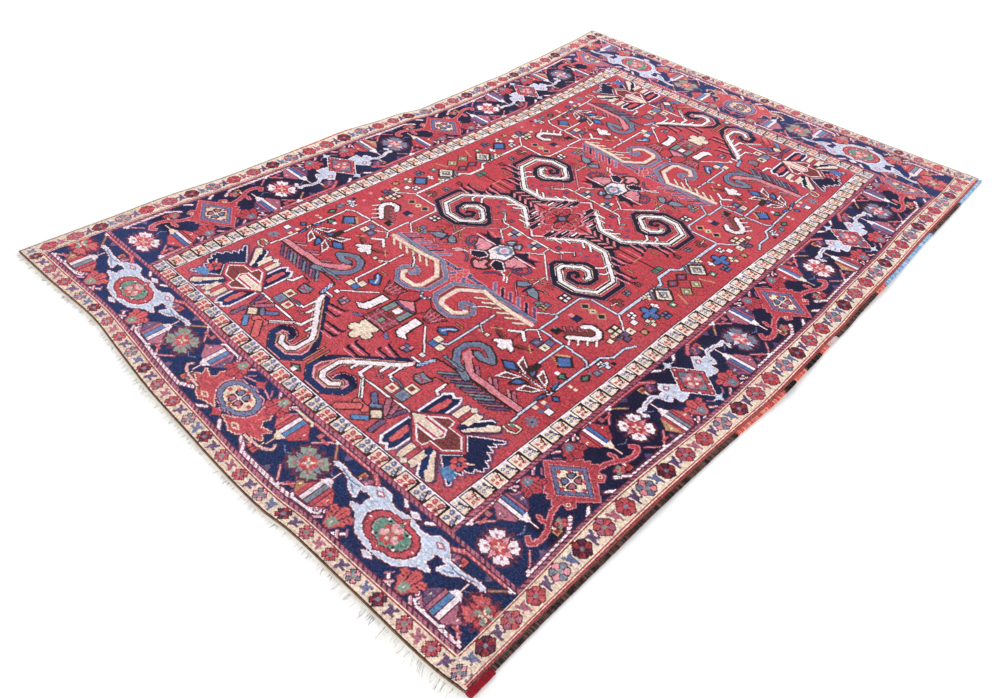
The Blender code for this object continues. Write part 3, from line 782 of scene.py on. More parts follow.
def sickle_leaf(m):
    """A leaf shaped like a sickle, with rows of short bars along its stem."""
    m.line("brown", 2, (52, 67.6), (73, 67.6), (83.6, 67))
    feathers(m, "rose", 2.8, (54.5, 69.6), (7.4, 0), 3, (3.8, 3.4))
    feathers(m, "pink", 2.2, (56.8, 69.8), (7.4, 0), 3, (3.2, 2.6))
    for start, yarns in ((54.6, "mauve steel"), (56.6, "rose"), (58, "mauve"), (60, "steel")):
        feathers(m, yarns, 2, (start, 66.6), (7.4, 0), 3, (4.2, -3.6))
    m.line("brown", 8, (52.4, 69), (72.4, 69.4), (77.4, 73.4), (79.2, 76.4))
    m.line("pink", 6, (52.8, 69), (72.4, 69.4), (77.4, 73.4))
    m.area("pink", (76.4, 72.6), (77, 75.8), (80.4, 77.2), (80.4, 74), (78.6, 72.4))
    m.line(
        "brown", 8.5, (71.6, 67), (79, 70), (82.6, 74), (82.6, 78), (80.4, 81), (77, 81.6), (73.6, 80),
        (71.4, 77.8), (75, 76.6), (77.6, 77.4),
    )
    m.line(
        "steel", 6, (72, 67.2), (79, 70), (82.4, 74), (82.4, 78), (80.2, 80.8), (77, 81.4), (73.6, 79.8),
        (71.6, 77.8), (75, 76.8), (77.4, 77.4),
    )
    m.line("slate", 2, (79.4, 70.4), (82.2, 74), (82.2, 78), (80, 80.6))
    m.vine("steel", 2.6, (75, 68.6), (83, 69.2))


def leaf_spray(m, side_vine):
    """The spray of leaves by the side of the field."""
    m.vine(
        side_vine, 2.2, (51, 64), (51.6, 78), (50.6, 80.2), (50.4, 97.6), (52.4, 99.3), (61, 100),
        (71.6, 100.2),
    )
    stalk = 80.4
    leaves = (
        # foot, length, yarn, rim
        (53, 7.4, "brick", "ivory"), (58, 5.6, "blue", "brown"),
        (61, 7.4, "brick", "ivory"), (50.6, 2.4, "blue", "brown"),
    )
    outline = ((0, 0.7), (0.2, 3.4), (0.8, 6.4), (0.7, 2.6))
    for side in (1, -1):
        for foot, long, yarn, rim in leaves:
            leaf = [(foot + long * share, stalk + up * side) for share, up in outline]
            heel = foot + long * 0.8, stalk + 1.4 * side
            m.area("brown", *[(x - 0.4, y + 0.3 * side) for x, y in leaf], heel).area(rim, *leaf)
            a, b = np.mean(leaf, 0)
            m.area(yarn, *[(a + (x - a) * 0.68, b + (y - b) * 0.68) for x, y in leaf])
    m.line("brown", 3, (51, stalk), (66, 80.6)).line("ivory brown", 1.4, (52, stalk), (65, 80.6))
    m.diamond(67, 80.8, 8, 5, "brown", "blue", "blue")
    m.diamond(48, 79.8, 4, 3.4, "brown", "blue")
    for k in range(4):
        c, s = np.cos(k * np.pi / 4), np.sin(k * np.pi / 4)
        m.line("steel", 1.8, *[(46.8 + r * c, 68 + r * s) for r in (-2, 2)])
    m.spots("brown", 2, (46.8, 68))
    m.box(46, 74.4, 6, "ivory")
    m.spots("slate", 4, (47.8, 75.8), (47.6, 73))
    m.spots("cream", 4, (50, 73), (49.6, 76))
    m.vine("cream", 1.8, (50.6, 62.4), (49, 63.8), (46.8, 63.6), (46.8, 61.4), (49, 60.6), (51, 60.8))
    m.spots("green", 3, (49.6, 63))


def hanging_vines(m, side_vine):
    """Vines, and what hangs from them."""
    m.vine(side_vine, 2.4, (86.4, 94.6), (86.4, 74), (88.2, 72.6))
    m.vine(side_vine, 1.4, (86.2, 88), (83.4, 86))
    m.box(87, 70.9, 7, "cream")
    m.box(89.8, 70.9, 6.5, "blue")
    m.box(90.2, 73.4, 6.5, "cream")
    m.area(
        "brown", (88.6, 81.6), (91.2, 81.4), (92.8, 79.8), (94.8, 77.4), (93.6, 75.6), (91, 75.2),
        (89.2, 76.6), (90.4, 78), (88.8, 79.4),
    )
    m.area(
        "blue", (89.2, 81), (91, 80.8), (92.4, 79.2), (94, 77.4), (93.2, 76.2), (91.2, 75.8), (90, 76.8),
        (91.4, 78.2), (89.6, 79.8),
    )
    m.line("sky", 1.4, (89.8, 80.4), (91.6, 79), (92.6, 77))
    m.vine("tan", 1, (89, 82.8), (91.6, 82.8))
    m.box(81.6, 86, 4, "cream")
    m.spots("tan", 3, (84.4, 86))
    m.vine(side_vine, 2.2, (61.7, 99.6), (61.7, 87.6))
    m.line("brown", 7, (61, 86.8), (61.6, 83.4))
    m.diamond(56.5, 94, 7.6, 7.4, "brown", "blue", "blue")
    m.line("tan", 2.6, (57, 97), (60, 95))
    m.line("tan brown", 2, (57, 91.6), (60.4, 93))
    m.box(65.3, 97.4, 7, "slate")
    m.box(65, 94.6, 7.5, "cream", "cream", "brick")
    m.box(68.5, 94.6, 8, "mauve", "steel")
    m.vine("ivory", 1.2, (72, 99.4), (70, 98), (68, 96.6))
    m.vine("ivory", 1.6, (71.8, 99.8), (74.4, 97.4), (74.6, 95.4))
    m.line("brown", 1.6, (74.6, 95.4), (74.6, 89))
    m.vine("ivory", 3.2, (71.6, 92.6), (74.6, 95.4), (78.2, 92.6))
    for s in (-1, 1):
        m.line("brown", 3, (74.6 + 2 * s, 88), (74.6 + 5 * s, 89), (74.6 + 7.6 * s, 91))
        m.line("brick", 4, (74.6 + 3 * s, 89.4), (74.6 + 7 * s, 90.4))
        m.line("tan", 1.2, (74.6 + 5.6 * s, 91.8), (74.6 + 8.4 * s, 89.4))
    m.area(
        "brown", (74.6, 90.6), (70, 86.4), (70.6, 84.8), (72.6, 85.4), (73.2, 83.8), (76, 83.8),
        (76.6, 85.4), (78.6, 84.8), (79.2, 86.4),
    )
    m.area(
        "ivory", (74.6, 89.8), (70.6, 86.4), (71, 85.4), (72.8, 86), (73.4, 84.4), (75.8, 84.4), (76.4, 86),
        (78.2, 85.4), (78.6, 86.4),
    )


def long_vine(m, side_vine):
    """The vine up the side as far as the spiral, with a feathered hook and diamonds beside it."""
    m.vine(
        side_vine, 2.6, (71.8, 100.2), (71.9, 109), (73, 110), (73, 122.4), (70.6, 124.8), (58.6, 124.8),
        (58.6, 149.6), (61.4, 152), (61.4, 156),
    )
    m.vine(side_vine, 1.6, (73, 109.8), (78, 106))
    m.line("brown", 9, (62.6, 112), (60.6, 113.6), (57.6, 113), (56.2, 111), (57, 108.6), (63, 103.8))
    feathers(m, "ivory", 1.6, (56, 109.6), (2.2, -1.9), 4, (-1.8, -2.6), "brick")
    m.line("brick", 7, (59.4, 110.4), (65.6, 105))
    feathers(m, "rose", 1.6, (60.6, 110.4), (1.7, -1.6), 4, (1.6, 1.2))
    m.line("ivory", 5, (63, 111.4), (61, 113.4), (57.8, 113), (56.4, 111), (57.2, 108.6), (63, 104))
    m.box(67.8, 103.6, 7, "black")
    m.spots("steel", 3, (69, 104.4))
    m.diamond(62, 120, 4.4, 4.2, "tan", "navy", "navy")
    m.diamond(65.6, 120, 4, 3.6, "tan", "cream", "brown")
    m.diamond(69, 120.4, 4.2, 4.2, "tan", "navy", "navy")
    m.box(67, 113.2, 7, "navy")
    m.spots("pink", 5, (69.2, 113.2))


def side_strip(m, side_vine):
    """Small things in the strip beside the long vine."""
    small = (
        (51, 121, 8, "cream", "cream", "brick"), (51, 117, 8, "mauve", "steel"),
        (54.6, 117.4, 8, "cream", "cream", "brown"), (52.6, 112.2, 5, "cream"), (47.2, 102, 6, "sky"),
        (49.4, 101.4, 4.5, "ivory"), (46.6, 97.4, 5, "steel"), (48.6, 129.4, 6, "cream", "sage"),
        (55.4, 127.8, 6, "ivory"), (52.8, 125.4, 6, "ivory"), (62.6, 129.6, 7, "brick", "cream"),
        (76.5, 118.8, 7, "ivory"), (78.2, 111.4, 5.5, "slate"), (80, 109.6, 5.5, "steel"),
        (78.2, 109.4, 5, "tan"), (49, 143, 6, "green", "cream"), (53, 137.6, 5, "ivory"),
        (47.4, 136.4, 6, "slate", "ivory"), (64.4, 154.6, 6, "green"), (57.6, 139.6, 5, "cream"),
        (63.8, 136.4, 5, "steel"), (63.8, 143.4, 5, "brick"),
    )
    for k, (x0, y0, size, *yarns) in enumerate(small):
        if k % 3 == 0:
            m.box(x0, y0, size, *yarns)
        elif k % 3 == 1:
            w = size * 0.2
            petals = (x0 - w, y0), (x0 + w, y0), (x0, y0 + w)
            m.spots("brown", size * 0.95, *petals).line("brown", 3, (x0, y0), (x0 + w * 0.4, y0 - w * 2))
            m.spots(yarns[0], size * 0.62, *petals).line(yarns[-1], 1, (x0, y0), (x0 + w * 0.4, y0 - w * 1.8))
        else:
            w = size * 0.13
            dots = (x0 - w, y0 + w), (x0 + w, y0 + w * 1.4), (x0 - w * 1.2, y0 - w), (x0 + w, y0 - w)
            m.spots("brown", size * 0.9, *dots).spots(yarns[0], size * 0.5, *dots)
    m.spots("brown", 5, (53.4, 114.6)).spots("cream", 3.4, (53.4, 114.6)).spots("navy", 4, (45.6, 104.6))
    m.spots("steel", 3, (48, 95.4), (46, 99))
    m.diamond(47.6, 93, 3.6, 5, "brown", "green")
    m.spots("cream", 3.4, (46.4, 87), (48.4, 87))
    m.diamond(53, 88.4, 5, 4, "brown", "green")
    m.spots("ivory", 3.4, (54.8, 88.6))
    if side_vine == "sky":
        m.flower(51.8, 133.4, 4, 0, 4, 3, "brown").flower(51.8, 133.4, 4, 0, 3.4, 2, "blue")
        m.spots("steel", 2, (51.8, 133.4))
        m.vine("sky", 2.2, (50.2, 98.4), (50.2, 103.4), (47.4, 106.6), (47.2, 113), (45.4, 116.2))
    else:
        m.diamond(52.4, 133, 8, 8, "brown", "blue", "blue").spots("pink", 4, (49.2, 106.8), (46.8, 112))
    m.diamond(54.4, 145, 9.6, 9, "brown", "cream", "steel", "cream").spots("brown", 2, (54.4, 145))
    m.line("brown", 4, (55.6, 141), (58.6, 143)).line("steel", 2, (55.6, 141), (58.6, 143))
    m.line("brown", 4, (55.6, 149), (58.6, 147)).line("steel", 2, (55.6, 149), (58.6, 147))
    m.vine("ivory", 1.6, (58.4, 125), (52.6, 119.6))
    m.diamond(50, 152.6, 6, 6, "brown", "tan", "green", "cream")
    m.diamond(56, 153, 5, 6.6, "brown", "crimson", "slate")
    m.line("brown", 1.2, (60.6, 147), (52.6, 143.4))
    m.line("tan", 1.6, (46, 147), (51, 149))
    clover(m, 47.4, 124, 3, "tan")


def second_hook(m):
    """The second hook, with the column between the pair."""
    m.line("crimson", 2, (90, 98.4), (86.6, 92))
    feathers(m, "cream", 2.2, (75.4, 99.8), (3.5, 0.05), 6, (4.2, -3.4), "brick")
    feathers(m, "mauve navy slate", 2.8, (76.4, 103), (3.6, 0.1), 6, (3.4, 4), "pink")
    for x0, y0 in ((98.6, 103.2), (102.4, 100)):
        m.vine("navy slate", 4, (x0, y0), (106, y0 - 0.2), (106.6, y0 + 1.2), edge="pink")
    m.area(
        "coral", (109.6, 106.4), (107.6, 104.6), (108.6, 103.2), (107.4, 101.4), (108.6, 99.8),
        (107.6, 98.4), (109.6, 96.4),
    )
    m.line(
        "pink", 1, (109.2, 106.4), (107.6, 104.6), (108.6, 103.2), (107.4, 101.4), (108.6, 99.8),
        (107.6, 98.4), (109.2, 96.6),
    )
    outer = (
        (75.6, 102), (97.8, 102.8), (99.4, 102.4), (107.2, 96.8), (107.2, 88.4), (105.4, 86.2),
        (100.2, 83.6), (96.4, 83.6), (92.2, 87.6), (91.8, 90.4), (94.2, 93.2), (96.8, 92.8), (98, 91.2),
        (96.6, 89.6), (95.6, 90.2),
    )
    inside = (
        (75, 99.9), (89, 100.1), (97.2, 101.4), (103.9, 95.2), (103.9, 88), (102.2, 86.1), (96.4, 85.8),
        (94.4, 87.8), (94.2, 89.2),
    )
    m.line("brown", 7.2, *outer[:-1]).line("brick", 5, (98.6, 102), (105.8, 95.8), (105.8, 88.2), (103.6, 86))
    for yarns, width in (("pink", 6), ("steel slate", 4.6)):
        m.line(yarns, width, *outer)
    for yarn, width in (("brown", 6.6), ("pink", 5.6), ("cream", 4.4)):
        m.line(yarn, width, *inside)
    m.line("pink", 1.2, (108.4, 96.4), (108.4, 87.8))
    m.vine("ivory", 1.6, (90, 97), (92.6, 94.6), (94, 92.8))


def winged_sprig(m):
    """A sprig with blue wings."""
    m.vine("ivory", 1.6, (88.8, 123.6), (88.8, 117))
    m.vine("tan", 1, (84.4, 121.4), (87, 119.2), (89, 120.6), (92, 117), (94.6, 117))
    m.line("brown", 1.4, (82, 116), (86, 115.4), (88.6, 112))
    m.area("brown", (80.8, 111), (84, 114.6), (87.6, 116), (89, 112.4), (86, 110.6))
    m.area("steel", (82, 111.2), (84.4, 114), (87.2, 115.2), (88, 112.6), (86, 111.2))
    m.area("brown", (88.4, 116.8), (91.4, 116.4), (94.4, 114), (92, 111.4), (89.4, 113))
    m.area("steel", (89, 116.2), (91.2, 115.8), (93.4, 114), (91.8, 112.2), (90, 113.6))
    m.line("navy", 2.8, (88.5, 115), (88.4, 111))
    m.vine("pink", 1, (86, 110), (88.4, 108), (91.4, 110.6), (93.4, 112.6))
    m.area("crimson", (81.4, 119), (83, 121), (86, 120.4), (85, 118))
    m.vine("tan", 1, (81.6, 115.8), (84.6, 116.6))
    m.vine("tan", 1, (95.4, 110.4), (97.4, 113), (98.6, 115.6))
    m.line("ivory", 1.4, (95.4, 110.4), (97.4, 113))


def axis_palmette(m):
    """The palmette on the axis."""
    m.vine("ivory", 2.6, (109.6, 137), (109.6, 133))
    m.area("brown", (104.8, 127.6), (106.2, 131), (108.2, 131.8), (AXIS, 129), (AXIS, 127))
    m.area("steel", (105.6, 128), (106.8, 130.4), (107.8, 130.8), (108.4, 128.8), (108.2, 127.6))
    m.line("sky", 1, (106.4, 128.6), (107.6, 130))
    m.area(
        "midnight", (106.8, 124.6), (103.4, 127.2), (99.4, 126.6), (95.2, 128.4), (97, 126.2),
        (94.4, 124.8), (99, 124.6), (106.4, 124),
    )
    m.area("midnight", (103.8, 126.8), (101.4, 129.6), (100.8, 126.6))
    m.line("ivory", 1.4, (94.6, 124), (99, 123.8), (105.4, 123.6))
    m.line("pink", 1.2, (104.8, 127.2), (102.4, 129.8), (100.6, 127.6), (97, 128.6))
    m.vine(
        "mauve", 2.4, (96.6, 122.4), (94.4, 121.6), (94.2, 119.6), (95.8, 117.4), (98, 116.8),
        (98.6, 118.4), (97, 119.6),
    )
    m.area("brown", (95.6, 123.4), (104.6, 123.6), (105, 118.4), (101.6, 115.8), (98.8, 117.8), (97.4, 120.6))
    m.area("pink", (96.6, 122.8), (103.8, 123), (104.2, 118.8), (101.4, 116.8), (99.4, 118.4), (98.2, 120.6))
    m.line("mauve", 1.6, (101.4, 117), (99.8, 118.4), (100.2, 120.2))
    m.area("ivory", (100, 114.8), (104.4, 118.2), (107.6, 117.4), (106.6, 113.8), (103, 112.6))
    m.area("midnight", (100.6, 114.8), (104.5, 117.7), (107.2, 117), (106.2, 113.8), (103, 112.8))
    m.area(
        "brown", (109.6, 116.4), (107.4, 115.4), (106.8, 112.8), (104.4, 113), (104.8, 110.4),
        (107.2, 108.4), (109.6, 107.4),
    )
    m.area(
        "pink", (109.6, 115), (108.2, 114.4), (107.8, 111.8), (105.8, 112), (106.4, 110.4), (108, 109.2),
        (109.6, 108.4),
    )
    m.vine("mauve", 1.6, (99.4, 112.6), (102.6, 111.4), (104.4, 108.8))
    m.line("ivory", 1.4, (97, 110.6), (98.8, 113), (100.4, 113.4))
    m.area(
        "brown", (109.6, 128.8), (104.4, 125.4), (104, 119.2), (106.8, 117.6), (108.2, 115.6),
        (109.6, 115.2),
    )
    m.area(
        "ivory", (109.6, 127.8), (105.2, 124.8), (104.8, 119.6), (107.2, 118.2), (108.6, 116.4),
        (109.6, 116),
    )
    m.area(
        "steel", (109.6, 126.8), (107.2, 126.2), (105.7, 124.4), (106.1, 121), (107.6, 121.4),
        (108.2, 120.2), (109.6, 119.6),
    )
    m.area("sky", (109.6, 125.9), (107.8, 125.2), (107, 123.8), (107.4, 122.2), (109.6, 121.4))
    m.spots("pink", 5.6, (109.2, 123.4))
    m.line("slate", 1.2, (107.2, 125.2), (106.8, 123.2), (107.6, 121.8))


def vines_over_palmette(m, side_vine):
    """Vines over the palmette."""
    m.vine("ivory", 2, (94, 138.6), (95.8, 137), (109.6, 136.6))
    m.vine("ivory", 1.4, (90, 140.4), (91.6, 142), (95, 138.4))
    m.vine("ivory", 1.6, (99, 137), (99, 133.6), (97.8, 132.8), (103, 128.8))
    m.vine("pink" if side_vine == "ivory" else "ivory", 1.4, (97.8, 132.8), (87, 122))
    m.vine("pink", 1.2, (94, 137.6), (91, 134.4))
    m.spots("brown", 12, (104, 134))
    m.spots("slate", 5, (102.8, 135.4), (105.2, 132.6))
    m.spots("cream", 4.6, (102.8, 132.8), (105.2, 135.2))
    m.box(97, 139.6, 4, "mauve")
    m.spots("steel", 4, (89.8, 143.2))
    m.spots("mauve", 4, (86.8, 143.4), (93.6, 145.4), (84.6, 146.6))


def spiral_arm(m):
    """The spiral and arm of the middle, with feathers outside the arm."""
    navy = (
        (104.8, 143.8), (94.4, 153), (83, 153), (71, 142.6), (67.4, 139), (67.4, 128), (76.4, 122.4),
        (84, 122.4), (92.2, 130), (92.2, 132.6), (84, 139.8), (80, 139.8), (75.8, 135), (75.8, 131),
        (79, 128.4), (83, 128.4), (84.6, 131), (83.6, 132.8),
    )
    white = (
        (103.8, 141.9), (93.8, 150.4), (84, 150.4), (72.6, 140.2), (71, 138.4), (71, 129.4), (77, 125),
        (83.6, 125), (88.8, 130), (88.8, 132.8), (83.6, 137), (81, 137), (78.2, 134.4), (78.4, 133),
    )
    m.line("brown", 8, *navy)
    m.line("rose", 6.8, *navy)
    for yarn, width in (("brown", 9.8), ("cream", 8.2), ("midnight", 6.6)):
        m.line(yarn, width, *white)
    m.line("midnight", 5, *navy)
    teeth = (
        ((99, 146), (102.4, 142.8), (98.6, 142.8)), ((96.4, 148), (100, 145.6), (96.4, 145.4)),
        ((91, 150), (87.6, 147)), ((94, 149.6), (91, 147)), ((78, 146), (78.4, 142), (80.2, 140.4)),
        ((75, 143), (75.6, 139.4), (77, 138.6)),
    )
    for tooth in teeth:
        m.vine("ivory", 2.4, *tooth)
    m.line("ivory", 3.8, *white)
    m.line("midnight", 4, (83, 128.4), (84.6, 131), (83.2, 133), (81.2, 132), (81.4, 130.8))
    m.line("brown", 4.6, (109.6, 137.6), (104.2, 142.6)).line("pink", 2.6, (109.6, 137.8), (104.2, 142.8))
    m.line("ivory", 1.4, (109.6, 136.4), (109.6, 137.8), (104, 142.8))
    # feathers outside the arm
    for y0, x0, x1 in ((145.2, 66.8, 75.6), (142.6, 65.6, 72.4), (151.4, 73.4, 81.6), (148.6, 74.4, 79)):
        m.line("pink", 2, (x0 + 1, y0 - 1.2), (x1 - 1, y0 - 1.6))
        m.line("midnight", 2.6, (x0, y0 + 0.9), (x0 + 0.3, y0), (x1, y0 - 0.6))
    m.vine("tan", 1, (72, 147.6), (69.6, 147.8))


def middle_diamond(m):
    """A quarter of the middle diamond: its chevrons, a comb of arches and the rosette."""
    for k in range(5):
        x0 = 81.4 + 3 * k
        m.line("midnight", 3, (x0, 156), (x0 + 3.4, 152.8))
        m.line("pink", 2.2, (x0 + 1.4, 156.4), (x0 + 4.6, 153))
        m.line("ivory", 1.2, (x0 + 2.3, 156.4), (x0 + 5, 153.6))
    m.line("brown", 6, (93.4, 157), (107, 145))
    m.line("pink", 4, (93.6, 157), (107.2, 145))
    m.area("red", (94.6, 157), (109.6, 143), (109.6, 157))
    m.line("brown", 3, (63.6, 156), (98, 156)).line("cream brown", 1.6, (64, 156), (98, 156))
    m.line("tan", 1.4, (73, 153.6), (73.4, 158))
    m.line("pink", 1, (73, 153.6), (80, 153.8))
    # comb of arches
    for x0, y0, y1 in ((98.6, 152, 149), (102, 150.4, 145.4), (105.4, 148.4, 142.4)):
        m.line("pink", 8, (x0, y0), (x0, y1)).line("midnight", 6, (x0, y0 - 0.4), (x0, y1))
        m.line("ivory", 1.6, (x0 + 0.3, y0 + 0.4), (x0 + 0.3, y0 - 2.6))
    # rosette
    for yarn, share in (("brown", 1.3), ("pink", 1.23), ("brown", 1.08)):
        m.flower(AXIS, MIDDLE, 8, 2, 7.6 * share, 3.1 * share, yarn, 0.5)
    m.flower(AXIS, MIDDLE, 8, 3, 7.4, 2.6, "coral red", 0.5)
    m.flower(AXIS, MIDDLE, 8, 4.2, 6.6, 1.4, "brick crimson", 0.5)
    m.diamond(AXIS, MIDDLE, 7.4, 6.4, "brown", "slate", "rose")
    m.spots("cream", 2, (AXIS, MIDDLE + 1.6), (AXIS, MIDDLE - 1.6), (AXIS - 1.8, MIDDLE))
    m.line("brown", 3, (94, 156), (100, 156)).line("cream brown", 1.6, (94, 156), (100, 156))


def field_quarter(side_vine):
    """The near left quarter of the field. The later motifs lie over the earlier ones."""
    # a little more each way than the quarter needs
    m = Motif(0, 187 * KNOT_CM, 0, 350 * KNOT_CM, "", CM)
    m.origin = (round(-FIELD_CORNER[0] * CM[0]), round(-FIELD_CORNER[1] * CM[1]))
    y, x = np.mgrid[: m.knots.shape[0], : m.knots.shape[1]].astype(float)
    m.x, m.y = x - m.origin[0], y - m.origin[1]
    m.knots[:] = YARN["red"]
    corner(m)
    large_hook(m)
    lattice(m)
    boxes_and_leaves(m)
    crossed_leaves(m)
    sickle_leaf(m)
    leaf_spray(m, side_vine)
    hanging_vines(m, side_vine)
    long_vine(m, side_vine)
    side_strip(m, side_vine)
    second_hook(m)
    winged_sprig(m)
    axis_palmette(m)
    vines_over_palmette(m, side_vine)
    spiral_arm(m)
    middle_diamond(m)
    return m


def whole_chart():
    """The whole carpet: guards and border round the field, whose side vines are pale blue on the right."""
    chart = np.full((ROWS, COLUMNS), YARN["red"], np.uint8)
    # columns and rows where the outer guard, border, inner guard and field meet
    _, border_left, guard_left, field_left, axis, field_right, guard_right, border_right, _ = SIDE_LINES
    _, border_near, guard_near, field_near, field_far, guard_far, border_far, _ = END_LINES

    def lay(rows, columns, turns, run, *details):
        """Fills a strip of the chart with a run of its length and height, turned by quarters."""
        down, across = rows[1] - rows[0], columns[1] - columns[0]
        long, high = (down, across) if turns % 2 else (across, down)
        chart[slice(*rows), slice(*columns)] = np.rot90(run(long, high, *details), turns)

    middle = (field_near + field_far) // 2
    high, wide = middle - field_near, axis - field_left
    left = field_quarter("ivory").knots[:high, :wide]
    right = field_quarter("sky").knots[:high, wide - 1 :: -1]
    chart[field_near:middle, field_left:axis] = left
    chart[field_near:middle, axis + 1 : field_right] = right
    chart[middle:field_far, field_left:axis] = left[::-1]
    chart[middle:field_far, axis + 1 : field_right] = right[::-1]
    chart[field_near:field_far, axis] = chart[field_near:field_far, axis - 1]

    # inner guard, near, far, left and right: a pair of flowers every 30.5 knots, or 25 on the sides
    across, along = (guard_left, guard_right), (field_near, field_far)
    lay((guard_near, field_near), across, 0, inner_guard, 30.5, 15)
    lay((field_far, guard_far), across, 2, inner_guard, 30.5, 15)
    lay(along, (guard_left, field_left), 1, inner_guard, 25, 8)
    lay(along, (field_right, guard_right), 3, inner_guard, 25, 8)

    # main border: how far its palmettes lie apart, where the first is, then their kinds in order and
    # the rosettes at the joints
    across, along = (border_left, border_right), (guard_near, guard_far)
    kinds, joints = ("blue", "red", "blue"), ("cluster", "sage", "sage", "cluster")
    lay((border_near, guard_near), across, 0, border_run, 181, 96, "oval", kinds, joints)
    lay((guard_far, border_far), across, 2, border_run, 179, 103, "oval", kinds, joints)
    kinds = ("red", "blue", "red", "blue", "red")
    joints = ("white", "white", "grey", "white", "grey", "white")
    lay(along, (border_left, guard_left), 1, border_run, 158.5, 3, "diamond", kinds[::-1], joints[::-1])
    lay(along, (guard_right, border_right), 3, border_run, 159, 94, "diamond", kinds, joints)

    # outer guard: a flower every 25 knots or so, with plain lines outside it on the right and at the
    # ends, and inside it all round
    along = (border_near, border_far)
    lay((0, border_near), (0, COLUMNS), 0, outer_guard, 24.6, 20)
    chart[border_far:] = outer_guard(COLUMNS, ROWS - border_far, 24.6, 12)[::-1]
    lay(along, (0, border_left), 1, outer_guard, 25, 10)
    lay(along, (border_right, COLUMNS - 3), 3, outer_guard, 25, 16)
    chart[0, :] = chart[-1, :] = YARN["brown"]
    for yarn, inset in (("red", 4), ("cream", 3), ("crimson", 2), ("red", 1)):
        chart[3:-3, -inset] = YARN[yarn]
    for yarn, out, spare in (("crimson", 2, 0), ("cream", 1, 2)):
        columns, rows = slice(border_left - spare, border_right + spare), slice(*along)
        chart[border_near - out, columns] = chart[border_far + out - 1, columns] = YARN[yarn]
        chart[rows, border_left - out] = chart[rows, border_right + out - 1] = YARN[yarn]
    return chart


def new_object(name, vertices, faces, material):
    """A mesh object at the origin, in the scene."""
    mesh = bpy.data.meshes.new(name)
    mesh.from_pydata(vertices, [], faces)
    mesh.materials.append(material)
    mesh.update()
    thing = bpy.data.objects.new(name, mesh)
    bpy.context.scene.collection.objects.link(thing)
    return thing


def slab(name, low, high, columns, rows, material):
    """A sheet of the carpet from one height to another, its grid drawn aside and rippled like the carpet.

    Gives the sheet, how many faces its top has, and the place in the weave of every corner of its faces.
    """
    c, r = np.meshgrid(np.arange(columns + 1) * COLUMNS / columns, np.arange(rows + 1) * ROWS / rows)
    under = on_carpet(c, r)
    count = (columns + 1) * (rows + 1)
    vertices = np.concatenate([(under + (0, 0, high)).reshape(-1, 3), (under + (0, 0, low)).reshape(-1, 3)])
    a = (np.arange(rows)[:, None] * (columns + 1) + np.arange(columns)).ravel()
    top = np.stack([a, a + 1, a + columns + 2, a + columns + 1], -1)
    bottom = top[:, ::-1] + count
    rim = np.concatenate([
        np.arange(columns + 1),
        np.arange(1, rows + 1) * (columns + 1) + columns,
        count - 2 - np.arange(columns),
        np.arange(rows - 1, 0, -1) * (columns + 1),
    ])
    after = np.roll(rim, -1)
    sides = np.stack([rim, rim + count, after + count, after], -1)
    faces = np.concatenate([top, bottom, sides])
    thing = new_object(name, vertices, faces.tolist(), material)
    places = np.concatenate([np.stack([c / COLUMNS, r / ROWS], -1).reshape(-1, 2)] * 2)
    layer = thing.data.uv_layers.new(name="weave")
    layer.data.foreach_set("uv", places[faces.ravel()].astype(np.float32).ravel())
    return thing, len(top), places[faces.ravel()]


def keep_knots(thing, chart, faces):
    """Keeps the chart on the faces, a number to each row of a face's knots with their yarns as its digits."""
    digits = chart.reshape(ROWS // FACE_ROWS, FACE_ROWS, COLUMNS // FACE_COLUMNS, FACE_COLUMNS).astype(float)
    packed = (digits * BASE ** np.arange(FACE_COLUMNS)).sum(-1) + 0.5
    packed = packed.transpose(0, 2, 1).reshape(-1, FACE_ROWS)
    all_tan = YARN["tan"] * (BASE**FACE_COLUMNS - 1) / (BASE - 1) + 0.5
    values = np.full((len(thing.data.polygons), FACE_ROWS), all_tan, np.float32)
    for start in faces:
        values[start : start + len(packed)] = packed
    knots = thing.data.attributes.new("knots", "FLOAT_VECTOR", "FACE")
    knots.data.foreach_set("vector", values.ravel())


class Socket:
    """An output of a node tree that sums can be written with."""

    def __init__(self, tree, output):
        self.tree, self.output = tree, output

    def node(self, kind, inputs=(), out=0, **settings):
        """Adds a node with these settings, links or sets its inputs, and gives one of its outputs."""
        made = self.tree.nodes.new(kind)
        for key, value in settings.items():
            setattr(made, key, value)
        for place, value in dict(inputs).items():
            if isinstance(value, Socket):
                self.tree.links.new(value.output, made.inputs[place])
            else:
                made.inputs[place].default_value = value
        return Socket(self.tree, made.outputs[out])

    def math(self, operation, *values):
        """This and the values put through a sum."""
        return self.node("ShaderNodeMath", enumerate((self, *values)), operation=operation)

    def __add__(self, other):
        return self.math("ADD", other)

    def __sub__(self, other):
        return self.math("SUBTRACT", other)

    def __mul__(self, other):
        return self.math("MULTIPLY", other)

    def __truediv__(self, other):
        return self.math("DIVIDE", other)

    def __mod__(self, other):
        return self.math("FLOORED_MODULO", other)

    def __radd__(self, other):
        return self.math("ADD", other)

    def __rmul__(self, other):
        return self.math("MULTIPLY", other)

    def __rsub__(self, other):
        return self.node("ShaderNodeMath", {0: other, 1: self}, operation="SUBTRACT")

    def floor(self):
        return self.math("FLOOR")

    def ramp(self, low, high):
        """0 below low and 1 above high, straight between."""
        return self.node("ShaderNodeMapRange", {"Value": self, "From Min": low, "From Max": high}, clamp=True)

    def parts(self):
        """The three parts of a vector."""
        split = self.tree.nodes.new("ShaderNodeSeparateXYZ")
        self.tree.links.new(self.output, split.inputs[0])
        return [Socket(self.tree, out) for out in split.outputs]

    def mix(self, a, b):
        """Colour a where this is 0, and b where it is 1."""
        return self.node("ShaderNodeMix", {0: self, 6: a, 7: b}, out=2, data_type="RGBA")


